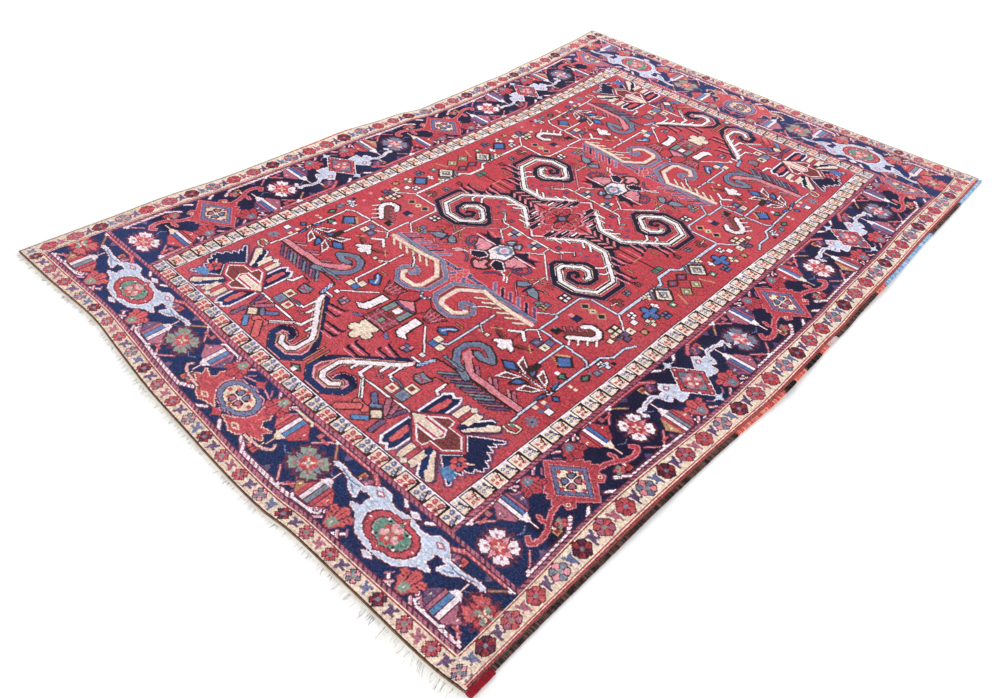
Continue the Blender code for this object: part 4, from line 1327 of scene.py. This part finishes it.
def new_material(name, roughness, sheen=0.0):
    """A Principled material and a socket to build from."""
    material = bpy.data.materials.new(name)
    material.use_nodes = True
    tree = material.node_tree
    shader = tree.nodes["Principled BSDF"]
    shader.inputs["Roughness"].default_value = roughness
    shader.inputs["Sheen Weight"].default_value = sheen
    shader.inputs["Sheen Roughness"].default_value = 0.5
    shader.inputs["Specular IOR Level"].default_value = 0.15
    return material, Socket(tree, None), shader


def linear(text):
    """A colour from its hex digits, in linear light."""
    parts = [int(text[i : i + 2], 16) / 255 for i in (1, 3, 5)]
    return (*[v / 12.92 if v < 0.04045 else ((v + 0.055) / 1.055) ** 2.4 for v in parts], 1.0)


def vector(start, x=0.0, y=0.0, z=0.0):
    """A vector from its three parts."""
    return start.node("ShaderNodeCombineXYZ", {0: x, 1: y, 2: z})


def noise(start, at, scale, detail=2.0, rough=0.5):
    """Soft noise round 0.5."""
    inputs = {"Vector": at, "Scale": scale, "Detail": detail, "Roughness": rough}
    return start.node("ShaderNodeTexNoise", inputs)


def speckle(start, x, y):
    """A number from 0 to 1 with no likeness to its neighbours'."""
    return start.node("ShaderNodeTexWhiteNoise", {0: vector(start, x, y)}, noise_dimensions="3D")


def shaded(start, colour, shade):
    """A colour times a shade of grey."""
    grey = start.node("ShaderNodeCombineColor", {0: shade, 1: shade, 2: shade})
    inputs = {0: 1.0, 6: colour, 7: grey}
    return start.node("ShaderNodeMix", inputs, out=2, data_type="RGBA", blend_type="MULTIPLY")


def coat(material, shader, colour, height, strength, depth):
    """Ends a material with its colour, and a bump from a height."""
    bump = colour.node("ShaderNodeBump", {"Height": height, "Strength": strength, "Distance": depth})
    material.node_tree.links.new(colour.output, shader.inputs["Base Color"])
    material.node_tree.links.new(bump.output, shader.inputs["Normal"])
    return material


def dye_ramp(start, digit, bath):
    """The colour of a yarn by its number in the table, from one of its two baths."""
    made = start.node("ShaderNodeValToRGB", {0: (digit + 0.5) / BASE})
    ramp = made.output.node.color_ramp
    ramp.interpolation = "CONSTANT"
    for k, baths in enumerate(YARNS.values()):
        stop = ramp.elements[0] if k == 0 else ramp.elements.new(k / BASE)
        stop.position = k / BASE
        stop.color = linear(baths[bath])
    while len(ramp.elements) > len(YARNS):
        ramp.elements.remove(ramp.elements[-1])
    return made


def strayed(place, soft, reach, knots_a_face):
    """A place in knots, moved by soft noise but kept inside the face that carries it."""
    first = (place / knots_a_face).floor() * knots_a_face
    moved = place + (soft - 0.5) * reach
    return moved.math("MAXIMUM", first + 0.02).math("MINIMUM", first + knots_a_face - 0.02)


def yarn_number(start, knot_column, knot_row):
    """The number in the table of a knot's yarn, read from the face that carries it."""
    rows = start.node("ShaderNodeAttribute", out=1, attribute_name="knots").parts()
    which = knot_row % FACE_ROWS
    first, third = which.math("LESS_THAN", 0.5), which.math("GREATER_THAN", 1.5)
    packed = first * rows[0] + (1 - first - third) * rows[1] + third * rows[2]
    power = start.node("ShaderNodeMath", {0: BASE, 1: knot_column % FACE_COLUMNS}, operation="POWER")
    return (packed / power).floor() % BASE


def knotted_wool(name, pile):
    """Wool dyed knot by knot from the chart, with abrash, flecks, mottling, dust, worn tips and painted
    shade.
    """
    material, start, shader = new_material(name, 0.95, 0.05 if pile else 0.0)
    u, v, _ = start.node("ShaderNodeUVMap", uv_map="weave").parts()
    fine = vector(start, u * COLUMNS, v * ROWS)
    # a knot's yarn strays over its neighbour
    column = strayed(u * COLUMNS, noise(start, fine, 0.9, 1.0), 1.6, FACE_COLUMNS)
    row = strayed(v * ROWS, noise(start, fine, 1.3, 1.0), 1.2, FACE_ROWS)
    knot_column, knot_row = column.floor(), row.floor()
    yarn = yarn_number(start, knot_column, knot_row)

    # abrash: a new bath starts at a weft, and may reach only part of the way across
    drift = noise(start, vector(start, u * 1.3, v * 2.0), 2.2, 2.0) - 0.5
    band = noise(start, vector(start, v * 1.0, drift * 0.35), 9.0, 3.0, 0.6)
    ends = (v + drift * 0.03 - 0.5).math("ABSOLUTE").ramp(0.366, 0.372)
    bath = (band.ramp(0.48, 0.62) * 0.5).math("MAXIMUM", ends)
    colour = bath.mix(dye_ramp(start, yarn, 0), dye_ramp(start, yarn, 1))

    fleck = speckle(start, knot_column, knot_row)
    pull = speckle(start, (column / 5.0 + row * 0.37).floor(), knot_row)
    mottle = noise(start, fine, 0.32, 3.0, 0.7)
    dust = noise(start, vector(start, u * 2.1, v * 3.15), 3.0, 4.0)
    in_column, in_row = column - knot_column - 0.5, row - knot_row - 0.5
    # painted shade: each knot darkens towards the furrows between its row and the next
    furrow = in_row * in_row * 4.0
    shade = 1.04 + (fleck - 0.5) * 0.5 + (pull - 0.5) * 0.3 + (mottle - 0.5) * 1.3
    shade = shade + (dust - 0.5) * 0.35 - furrow * furrow * 0.28
    # painted shade: the dark yarns are darkened, most towards the near right corner, where the pile looks
    # darker under this light
    light = start.node("ShaderNodeRGBToBW", {0: colour})
    painted_corner_shade = (u - v * 0.9).ramp(0.15, 0.95) * (1 - light.ramp(0.1, 0.5)) * 0.38
    shade = (shade - painted_corner_shade).math("MAXIMUM", 0.3)
    # worn tips show paler, the dark yarns least
    pale = (light.ramp(0.0, 0.16) * 0.3 + 0.03) if pile else 0.5
    worn = noise(start, fine, 0.7, 2.0, 0.8).ramp(0.5, 0.72) * pale
    colour = worn.mix(shaded(start, colour, shade), linear("#e2c0ca" if pile else "#b8aca0"))

    # each knot is a small cushion, and each weft a furrow
    cushion = 1 - (in_column * in_column * 1.2 + in_row * in_row * 3.2)
    height = cushion * 0.6 + fleck * 0.5 + mottle * 1.6 + dust * 1.2
    return coat(material, shader, colour, height, 0.6, 0.0014)


# The side that shows fills most of the bake map. All the other faces share a strip above it.
BAKE_SHOWN, BAKE_STRIP, STRIP_FOOT = 0.96, 0.03, 0.965


def lay_out_bake(thing, weave, shown):
    """Adds the bake map to a slab, shown being the face corners of the side that shows."""
    bake = weave.copy()
    bake[:, 1] *= BAKE_SHOWN
    other = np.ones(len(bake), bool)
    other[shown] = False
    bake[other] = bake[other] * (1, BAKE_STRIP) + (0, STRIP_FOOT)
    layer = thing.data.uv_layers.new(name="OFBake")
    layer.data.foreach_set("uv", bake.astype(np.float32).ravel())


chart = whole_chart()
grid = (COLUMNS // FACE_COLUMNS, ROWS // FACE_ROWS)
pile, top_faces, weave = slab("pile", *PILE_Z, *grid, knotted_wool("clipped_wool", True))
keep_knots(pile, chart, (0, top_faces))
lay_out_bake(pile, weave, slice(0, top_faces * 4))
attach(pile, "root")
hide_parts("rug")

# ---------------------------------------------------------------------------------------------
# Foundation: cotton warp and weft that the knots are tied on. Its underside shows the same chart
# flat and mirrored, each knot as a hard little node between grey cotton wefts.

FOUNDATION_Z = (0.0, 0.0029)

foundation, top_faces, weave = slab("foundation", *FOUNDATION_Z, *grid, knotted_wool("knot_backs", False))
keep_knots(foundation, chart, (0, top_faces))
lay_out_bake(foundation, weave, slice(top_faces * 4, top_faces * 8))
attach(foundation, "root")

# ---------------------------------------------------------------------------------------------
# Selvedges: a roll of warps along each long side, overcast with wool. It has been mended with
# whatever yarn was at hand, so the colour changes from run to run. Each turn is a ring of yarn.

ROLL_HEIGHT = 0.0090
ROLL_WIDTHS = {"right": 0.0160, "left": 0.0095}
SEAM_GAP = 0.0006
RUN_GAP = 0.0006
TURN_YARN = 0.0022
TURN_PITCH = 0.0026
# How far the loose hairs reach out of the roll, and how thick they are
HAIR_REACH = 0.0015
HAIR_RADIUS = 0.00022

# Where each run stops along the side, in metres, the record's slot for its yarn, and its swell
RUNS = {
    "right": (
        ("knot", 0.080, "red_yarn", 1.35),
        ("brown_near", 1.070, "brown_yarn", 1.0),
        ("coral_near", 1.320, "coral_yarn", 0.95),
        ("black_near", 1.385, "black_yarn", 1.05),
        ("coral_short", 1.460, "coral_yarn", 0.95),
        ("black_mid", 1.570, "black_yarn", 1.05),
        ("coral_mid", 1.625, "coral_yarn", 1.0),
        ("pale_mid", 1.685, "pale_blue_yarn", 1.1),
        ("brown_mid", 2.010, "brown_yarn", 1.0),
        ("coral_far", 2.080, "coral_yarn", 1.0),
        ("blue_mid", 2.555, "light_blue_yarn", 1.0),
        ("brown_far", 2.880, "brown_yarn", 1.05),
        ("blue_far", 3.150, "light_blue_yarn", 1.0),
    ),
    "left": (
        ("grey_near", 1.075, "grey_brown_yarn", 1.0),
        ("coral", 1.380, "coral_yarn", 1.1),
        ("grey_far", 3.150, "grey_brown_yarn", 1.0),
    ),
}

# Each yarn, and the odd strand that shows among it
YARN_TINTS = {
    "red_yarn": ("#a81c30", "#701020"),
    "coral_yarn": ("#d8483e", "#e8a494"),
    "brown_yarn": ("#2e2023", "#7c5c54"),
    "black_yarn": ("#161214", "#54403e"),
    "light_blue_yarn": ("#6ca2d0", "#c0d2e6"),
    "pale_blue_yarn": ("#cdd4dc", "#e09a90"),
    "grey_brown_yarn": ("#a08f8c", "#c8a89c"),
}


def new_geometry_tree(name, sizes):
    """A Geometry Nodes tree with named sizes. Gives the tree, its start, the path coming in and the sizes."""
    tree = bpy.data.node_groups.new(name, "GeometryNodeTree")
    tree.interface.new_socket("Path", in_out="INPUT", socket_type="NodeSocketGeometry")
    for size in sizes:
        tree.interface.new_socket(size, in_out="INPUT", socket_type="NodeSocketFloat")
    tree.interface.new_socket("Geometry", in_out="OUTPUT", socket_type="NodeSocketGeometry")
    start = Socket(tree, None)
    came = tree.nodes.new("NodeGroupInput")
    return tree, start, Socket(tree, came.outputs[0]), [Socket(tree, out) for out in came.outputs[1:-1]]


def close_tree(shape, material):
    """Ends a tree: real meshes instead of instances, smooth, in one material."""
    real = shape.node("GeometryNodeRealizeInstances", {0: shape})
    smooth = shape.node("GeometryNodeSetShadeSmooth", {0: real})
    done = shape.node("GeometryNodeSetMaterial", {0: smooth, "Material": material})
    end = shape.tree.nodes.new("NodeGroupOutput")
    shape.tree.links.new(done.output, end.inputs[0])


def grown(name, points, tree, sizes, attributes=()):
    """The mesh that a tree makes along a path of points, as a plain object."""
    mesh = bpy.data.meshes.new(name)
    mesh.from_pydata([tuple(p) for p in points], [(k, k + 1) for k in range(len(points) - 1)], [])
    for key, values in dict(attributes).items():
        mesh.attributes.new(key, "FLOAT", "POINT").data.foreach_set("value", np.asarray(values, np.float32))
    thing = bpy.data.objects.new(name, mesh)
    bpy.context.scene.collection.objects.link(thing)
    modifier = thing.modifiers.new("grown", "NODES")
    modifier.node_group = tree
    for item in tree.interface.items_tree:
        if item.in_out == "INPUT" and item.name in sizes:
            modifier[item.identifier] = float(sizes[item.name])
    shape = bpy.data.meshes.new_from_object(thing.evaluated_get(bpy.context.evaluated_depsgraph_get()))
    thing.modifiers.clear()
    thing.data = shape
    shape.name = name
    return thing


def overcast_wool(slot_name):
    """Coarse wool of one dye with odd strands in it. Each turn has its own shade, broken up by fuzz."""
    material, start, shader = new_material("overcast_" + slot_name, 0.95, 0.1)
    main, odd = YARN_TINTS[slot_name]
    tone = start.node("ShaderNodeAttribute", out=2, attribute_name="tone")
    at = start.node("ShaderNodeTexCoord", out=3)
    fuzz = noise(start, at, 700.0, 3.0, 0.7)
    patch = noise(start, at, 60.0, 3.0, 0.6)
    mixed = (patch * 0.9 + tone * 0.5 + fuzz * 0.35).ramp(0.82, 1.1)
    colour = mixed.mix(linear(main), linear(odd))
    colour = shaded(start, colour, 0.55 + tone * 0.45 + fuzz * 0.5)
    return coat(material, shader, colour, fuzz, 0.6, 0.0008)


def random_value(start, low, high, seed):
    """A number between low and high, another for each point."""
    return start.node("FunctionNodeRandomValue", {2: low, 3: high, "Seed": seed}, out=1)


def marked(start, instances, key, value):
    """The instances, each keeping its value under a name."""
    inputs = {"Geometry": instances, "Name": key, "Value": value}
    return start.node("GeometryNodeStoreNamedAttribute", inputs, domain="INSTANCE")


def loose_hair(start, reach):
    """One loose end of wool, curling up as far out as its reach."""
    curl = {"Resolution": 3, "Start": (0, 0, 0), "Start Handle": (0.4, 0.3, 0)}
    curl.update({"End Handle": (0.7, 0.5, 0), "End": (1, 0, 0.1)})
    hair = start.node("GeometryNodeCurvePrimitiveBezierSegment", curl)
    size = vector(start, reach, 0.008, 0.008)
    hair = start.node("GeometryNodeTransform", {"Geometry": hair, "Scale": size})
    section = start.node("GeometryNodeCurvePrimitiveCircle", {"Resolution": 3, "Radius": HAIR_RADIUS})
    inputs = {"Curve": hair, "Profile Curve": section, "Fill Caps": True}
    return start.node("GeometryNodeCurveToMesh", inputs)


def overcast_tree(material):
    """Rings of yarn side by side round a core, along a path."""
    names = ("Width", "Height", "Yarn", "Pitch", "Seed")
    tree, start, path, sizes = new_geometry_tree("overcast_" + material.name, names)
    width, height, yarn, pitch, seed = sizes
    curve = start.node("GeometryNodeMeshToCurve", {0: path})
    spaced = start.node("GeometryNodeResampleCurve", {"Curve": curve, "Length": pitch}, mode="LENGTH")
    ring = start.node("GeometryNodeCurvePrimitiveCircle", {"Resolution": 12, "Radius": 1.0})
    half = vector(start, (width - yarn) / 2, (height - yarn) / 2, 1.0)
    upright = start.node("GeometryNodeTransform", {"Geometry": ring, "Scale": half})
    slant = (math.radians(90 - 9), 0, math.radians(5))
    upright = start.node("GeometryNodeTransform", {"Geometry": upright, "Rotation": slant})
    section = start.node("GeometryNodeCurvePrimitiveCircle", {"Resolution": 4, "Radius": yarn / 2})
    turn = start.node("GeometryNodeCurveToMesh", {"Curve": upright, "Profile Curve": section})
    along = start.node("GeometryNodeInputTangent")
    facing = start.node("FunctionNodeAlignRotationToVector", {"Vector": along}, axis="Y", pivot_axis="Z")
    uneven = noise(start, start.node("GeometryNodeInputPosition"), 22.0, 2.0).ramp(0.35, 0.7)
    thick = vector(start, random_value(start, 0.86, 1.0, seed) - uneven * 0.14, 1.0, 1.0)
    inputs = {"Points": spaced, "Instance": turn, "Rotation": facing, "Scale": thick}
    turns = start.node("GeometryNodeInstanceOnPoints", inputs)
    turns = marked(start, turns, "tone", random_value(start, 0.0, 1.0, seed + 1.0))
    rough_path = start.node("GeometryNodeResampleCurve", {"Curve": curve, "Length": 0.03}, mode="LENGTH")
    oval = start.node("GeometryNodeCurvePrimitiveCircle", {"Resolution": 8, "Radius": 0.92})
    oval = start.node("GeometryNodeTransform", {"Geometry": oval, "Scale": half})
    inputs = {"Curve": rough_path, "Profile Curve": oval, "Fill Caps": True}
    core = start.node("GeometryNodeCurveToMesh", inputs)
    # hairs point anywhere on the upper side
    inputs = {0: (0, math.radians(-165), -0.5), 1: (0, math.radians(-15), 0.5), "Seed": seed + 2.0}
    turned = start.node("FunctionNodeRandomValue", inputs, data_type="FLOAT_VECTOR")
    inputs = {"Points": spaced, "Instance": loose_hair(start, width / 2 + HAIR_REACH), "Rotation": turned}
    hairs = marked(start, start.node("GeometryNodeInstanceOnPoints", inputs), "tone", 1.0)
    both = start.node("GeometryNodeJoinGeometry")
    for shape in (core, turns, hairs):
        tree.links.new(shape.output, both.output.node.inputs[0])
    close_tree(both, material)
    return tree


trees = {slot_name: overcast_tree(overcast_wool(slot_name)) for slot_name in YARN_TINTS}
for side, runs in RUNS.items():
    out = 1 if side == "right" else -1
    begin = 0.0
    for seed, (name, stop, slot_name, swell) in enumerate(runs):
        rows = np.linspace(begin, stop - RUN_GAP, max(int((stop - begin) / 0.02), 4)) / KNOT
        path = on_carpet(COLUMNS if out > 0 else 0, rows)
        path[:, 0] += out * (ROLL_WIDTHS[side] / 2 * swell + SEAM_GAP)
        path[:, 2] += ROLL_HEIGHT / 2 * swell
        inset = TURN_YARN / 2 / max(np.linalg.norm(path[1] - path[0]), 1e-6)
        path[0] += (path[1] - path[0]) * inset
        path[-1] += (path[-2] - path[-1]) * inset
        sizes = {
            "Width": ROLL_WIDTHS[side] * swell,
            "Height": ROLL_HEIGHT * swell,
            "Yarn": TURN_YARN,
            "Pitch": TURN_PITCH,
            "Seed": seed * 7 + (out > 0),
        }
        roll = grown(f"overcasting_{side}_{name}", path, trees[slot_name], sizes)
        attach(roll, "root")
        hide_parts(f"selvedge_{side}_{name}")
        begin = stop

# ---------------------------------------------------------------------------------------------
# Ends: past the last knots a few cotton wefts are woven across to hold them, and the warps stand
# out of these as a short fringe, frayed, worn uneven and lying on the floor.

BANDS = {
    # end: chart row, way out, depth of the band, warp ends that show
    "near": (0, -1, 0.006, 600),
    "far": (900, 1, 0.013, 640),
}
BAND_INSET = 0.004
BAND_POINTS = 260
WEFT = 0.0021
WARP = 0.0015
# What differs from one warp end to the next, and between which values
WARP_SPREAD = (("share", 0.3, 1.15), ("lean", -0.35, 0.35), ("bend", -0.2, 0.2), ("tone", 0.0, 1.0))
FRINGE_ACROSS = (0.0, 0.25, 0.50, 0.80, 1.20, 1.60, 1.85, 2.10)
FRINGE = {
    # lengths in millimetres, and slants in degrees
    "near": ((17, 11, 14, 18, 14, 18, 30, 36), (-10, -4, 6, 10, 4, 8, 14, 18)),
    "far": ((10, 14, 8, 13, 9, 14, 11, 16), (4, 8, -4, 3, -6, 5, 2, 8)),
}


def tube(path, radius, sides):
    """Points and faces of a round cord along a path, closed at its ends."""
    ahead = np.gradient(path, axis=0)
    ahead /= np.linalg.norm(ahead, axis=1)[:, None]
    out = np.cross(ahead, (0, 0, 1.0))
    out /= np.linalg.norm(out, axis=1)[:, None]
    up = np.cross(out, ahead)
    turn = 2 * np.pi * np.arange(sides) / sides
    ring = out[:, None] * np.cos(turn)[None, :, None] + up[:, None] * np.sin(turn)[None, :, None]
    points = (path[:, None] + ring * np.broadcast_to(radius, len(path))[:, None, None]).reshape(-1, 3)
    a = (np.arange(len(path) - 1)[:, None] * sides + np.arange(sides)).ravel()
    b = (np.arange(len(path) - 1)[:, None] * sides + (np.arange(sides) + 1) % sides).ravel()
    faces = np.stack([a, b, b + sides, a + sides], -1).tolist()
    last = (len(path) - 1) * sides
    return points, faces + [list(range(sides))[::-1], list(range(last, last + sides))]


def raw_cotton(name, dark, mesh_tone):
    """Unbleached cotton gone grey and yellow with use, single warps more than others."""
    material, start, shader = new_material(name, 0.95, 0.1)
    at = start.node("ShaderNodeTexCoord", out=3)
    fuzz = noise(start, at, 900.0, 3.0, 0.7)
    stain = noise(start, at, 14.0, 3.0, 0.6)
    value = stain * 1.1 + fuzz * 0.4
    if mesh_tone:
        value = value + 0.9 * start.node("ShaderNodeAttribute", out=2, attribute_name="tone") - 0.3
    colour = value.ramp(0.4, 0.9).mix(linear(dark), linear("#fffcf4"))
    return coat(material, shader, colour, fuzz, 0.5, 0.0006)


def warp_end_tree(material):
    """Warp ends along a path: each a thin cord with its own length, slant and bend, down onto the floor."""
    tree, start, path, sizes = new_geometry_tree("warp_ends", ("Count", "Yarn", "Way", "Seed"))
    count, yarn, way, seed = sizes
    curve = start.node("GeometryNodeMeshToCurve", {0: path})
    spaced = start.node("GeometryNodeResampleCurve", {"Curve": curve, "Count": count}, mode="COUNT")
    straight = start.node("GeometryNodeCurvePrimitiveLine", {"Start": (0, 0, 0), "End": (0, 0, 1)})
    straight = start.node("GeometryNodeResampleCurve", {"Curve": straight, "Count": 6}, mode="COUNT")
    ends = start.node("GeometryNodeInstanceOnPoints", {"Points": spaced, "Instance": straight})
    for k, (key, low, high) in enumerate(WARP_SPREAD):
        ends = marked(start, ends, key, random_value(start, low, high, seed + float(k)))
    ends = start.node("GeometryNodeRealizeInstances", {0: ends})

    def kept(key):
        return start.node("GeometryNodeInputNamedAttribute", {"Name": key})

    t = start.node("GeometryNodeSplineParameter")
    x, y, z = start.node("GeometryNodeInputPosition").parts()
    length = kept("reach") * kept("share")
    angle = kept("slant") + kept("lean") * t.math("POWER", 0.7)
    side = length * t * angle.math("SINE") + length * kept("bend") * (t * 3.6).math("SINE") * t * 0.6
    out = length * t * angle.math("COSINE")
    high = (z - t) * (1 - t * 5.0).math("MAXIMUM", 0.0) + yarn * 0.55 * (t * 5.0).math("MINIMUM", 1.0)
    place = vector(start, x + side, y + way * out, high)
    moved = start.node("GeometryNodeSetPosition", {"Geometry": ends, "Position": place})
    section = start.node("GeometryNodeCurvePrimitiveCircle", {"Resolution": 4, "Radius": 1.0})
    thick = yarn / 2 * (1 - t * 0.45)
    inputs = {"Curve": moved, "Profile Curve": section, "Scale": thick, "Fill Caps": True}
    close_tree(start.node("GeometryNodeCurveToMesh", inputs), material)
    return tree


weft_cotton = raw_cotton("weft_cotton", "#e2dacb", False)
fringe_tree = warp_end_tree(raw_cotton("warp_cotton_ends", "#5c5650", True))
for seed, (end, (row, way, depth, count)) in enumerate(BANDS.items()):
    columns = np.linspace(BAND_INSET / KNOT, COLUMNS - BAND_INSET / KNOT, BAND_POINTS)
    across = columns * KNOT
    ragged = 1 + 0.12 * np.sin(across * 19) + 0.08 * np.sin(across * 47)
    points, faces = [], []
    wefts = round(depth / WEFT)
    for k in range(wefts):
        path = on_carpet(columns, row)
        path[:, 1] += way * (SEAM_GAP + (k + 0.5) * depth / wefts * ragged)
        path[:, 2] += WEFT * 0.55 + 0.0002 * np.sin(across * 900 + k * np.pi)
        more, rings = tube(path, WEFT * 0.52, 6)
        faces += [[i + len(points) * len(more) for i in face] for face in rings]
        points.append(more)
    band = new_object(f"weft_band_{end}", np.concatenate(points), faces, weft_cotton)
    band.data.shade_smooth()
    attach(band, "root")
    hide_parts(f"end_{end}")

    root = on_carpet(columns, row)
    root[:, 1] += way * (SEAM_GAP + depth * ragged - 0.001)
    root[:, 2] += WEFT * 0.6
    lengths, slants = FRINGE[end]
    kept = {
        "reach": on_curve(FRINGE_ACROSS, lengths, across) / 1000,
        "slant": np.radians(on_curve(FRINGE_ACROSS, slants, across)),
    }
    sizes = {"Count": count, "Yarn": WARP, "Way": way, "Seed": 31 + 10 * seed}
    fringe = grown(f"warp_ends_{end}", root, fringe_tree, sizes, kept)
    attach(fringe, "root")
    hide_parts(f"end_{end}")

# ---------------------------------------------------------------------------------------------
# Floor, light and camera: a plain pale floor under soft studio light, seen from above the near
# right corner.

material, start, shader = new_material("pale_floor", 0.8)
shader.inputs["Base Color"].default_value = (0.9, 0.9, 0.9, 1)
corners = [(-30, -30, 0), (30, -30, 0), (30, 30, 0), (-30, 30, 0)]
floor = new_object("floor", corners, [(0, 1, 2, 3)], material)

world = bpy.data.worlds.new("studio")
bpy.context.scene.world = world
world.use_nodes = True
world.node_tree.nodes["Background"].inputs["Color"].default_value = (1, 1, 1, 1)
world.node_tree.nodes["Background"].inputs["Strength"].default_value = 0.85
bpy.context.scene.view_settings.view_transform = "Standard"

LAMPS = (
    # name, place, size, power
    ("key", (-2.6, 3.2, 4.2), 3.0, 130),
    ("fill", (3.4, -2.4, 4.0), 3.0, 60),
)
for name, place, size, power in LAMPS:
    lamp = bpy.data.lights.new(name, "AREA")
    lamp.size = size
    lamp.energy = power
    holder = bpy.data.objects.new(name, lamp)
    holder.location = place
    holder.rotation_euler = (-Vector(place)).to_track_quat("-Z", "Y").to_euler()
    bpy.context.scene.collection.objects.link(holder)

EYE = (1.5002, -2.1208, 1.6622)
RIGHT, UP, AHEAD = (0.72762, 0.68268, 0.06685), (-0.50039, 0.46170, 0.73243), (-0.46921, 0.56634, -0.67750)
camera = bpy.data.objects.new("camera", bpy.data.cameras.new("camera"))
camera.data.lens = 28.322
camera.data.clip_end = 100
camera.matrix_world = Matrix([(r, u, -a, e) for r, u, a, e in zip(RIGHT, UP, AHEAD, EYE)] + [(0, 0, 0, 1)])
bpy.context.scene.collection.objects.link(camera)
bpy.context.scene.camera = camera
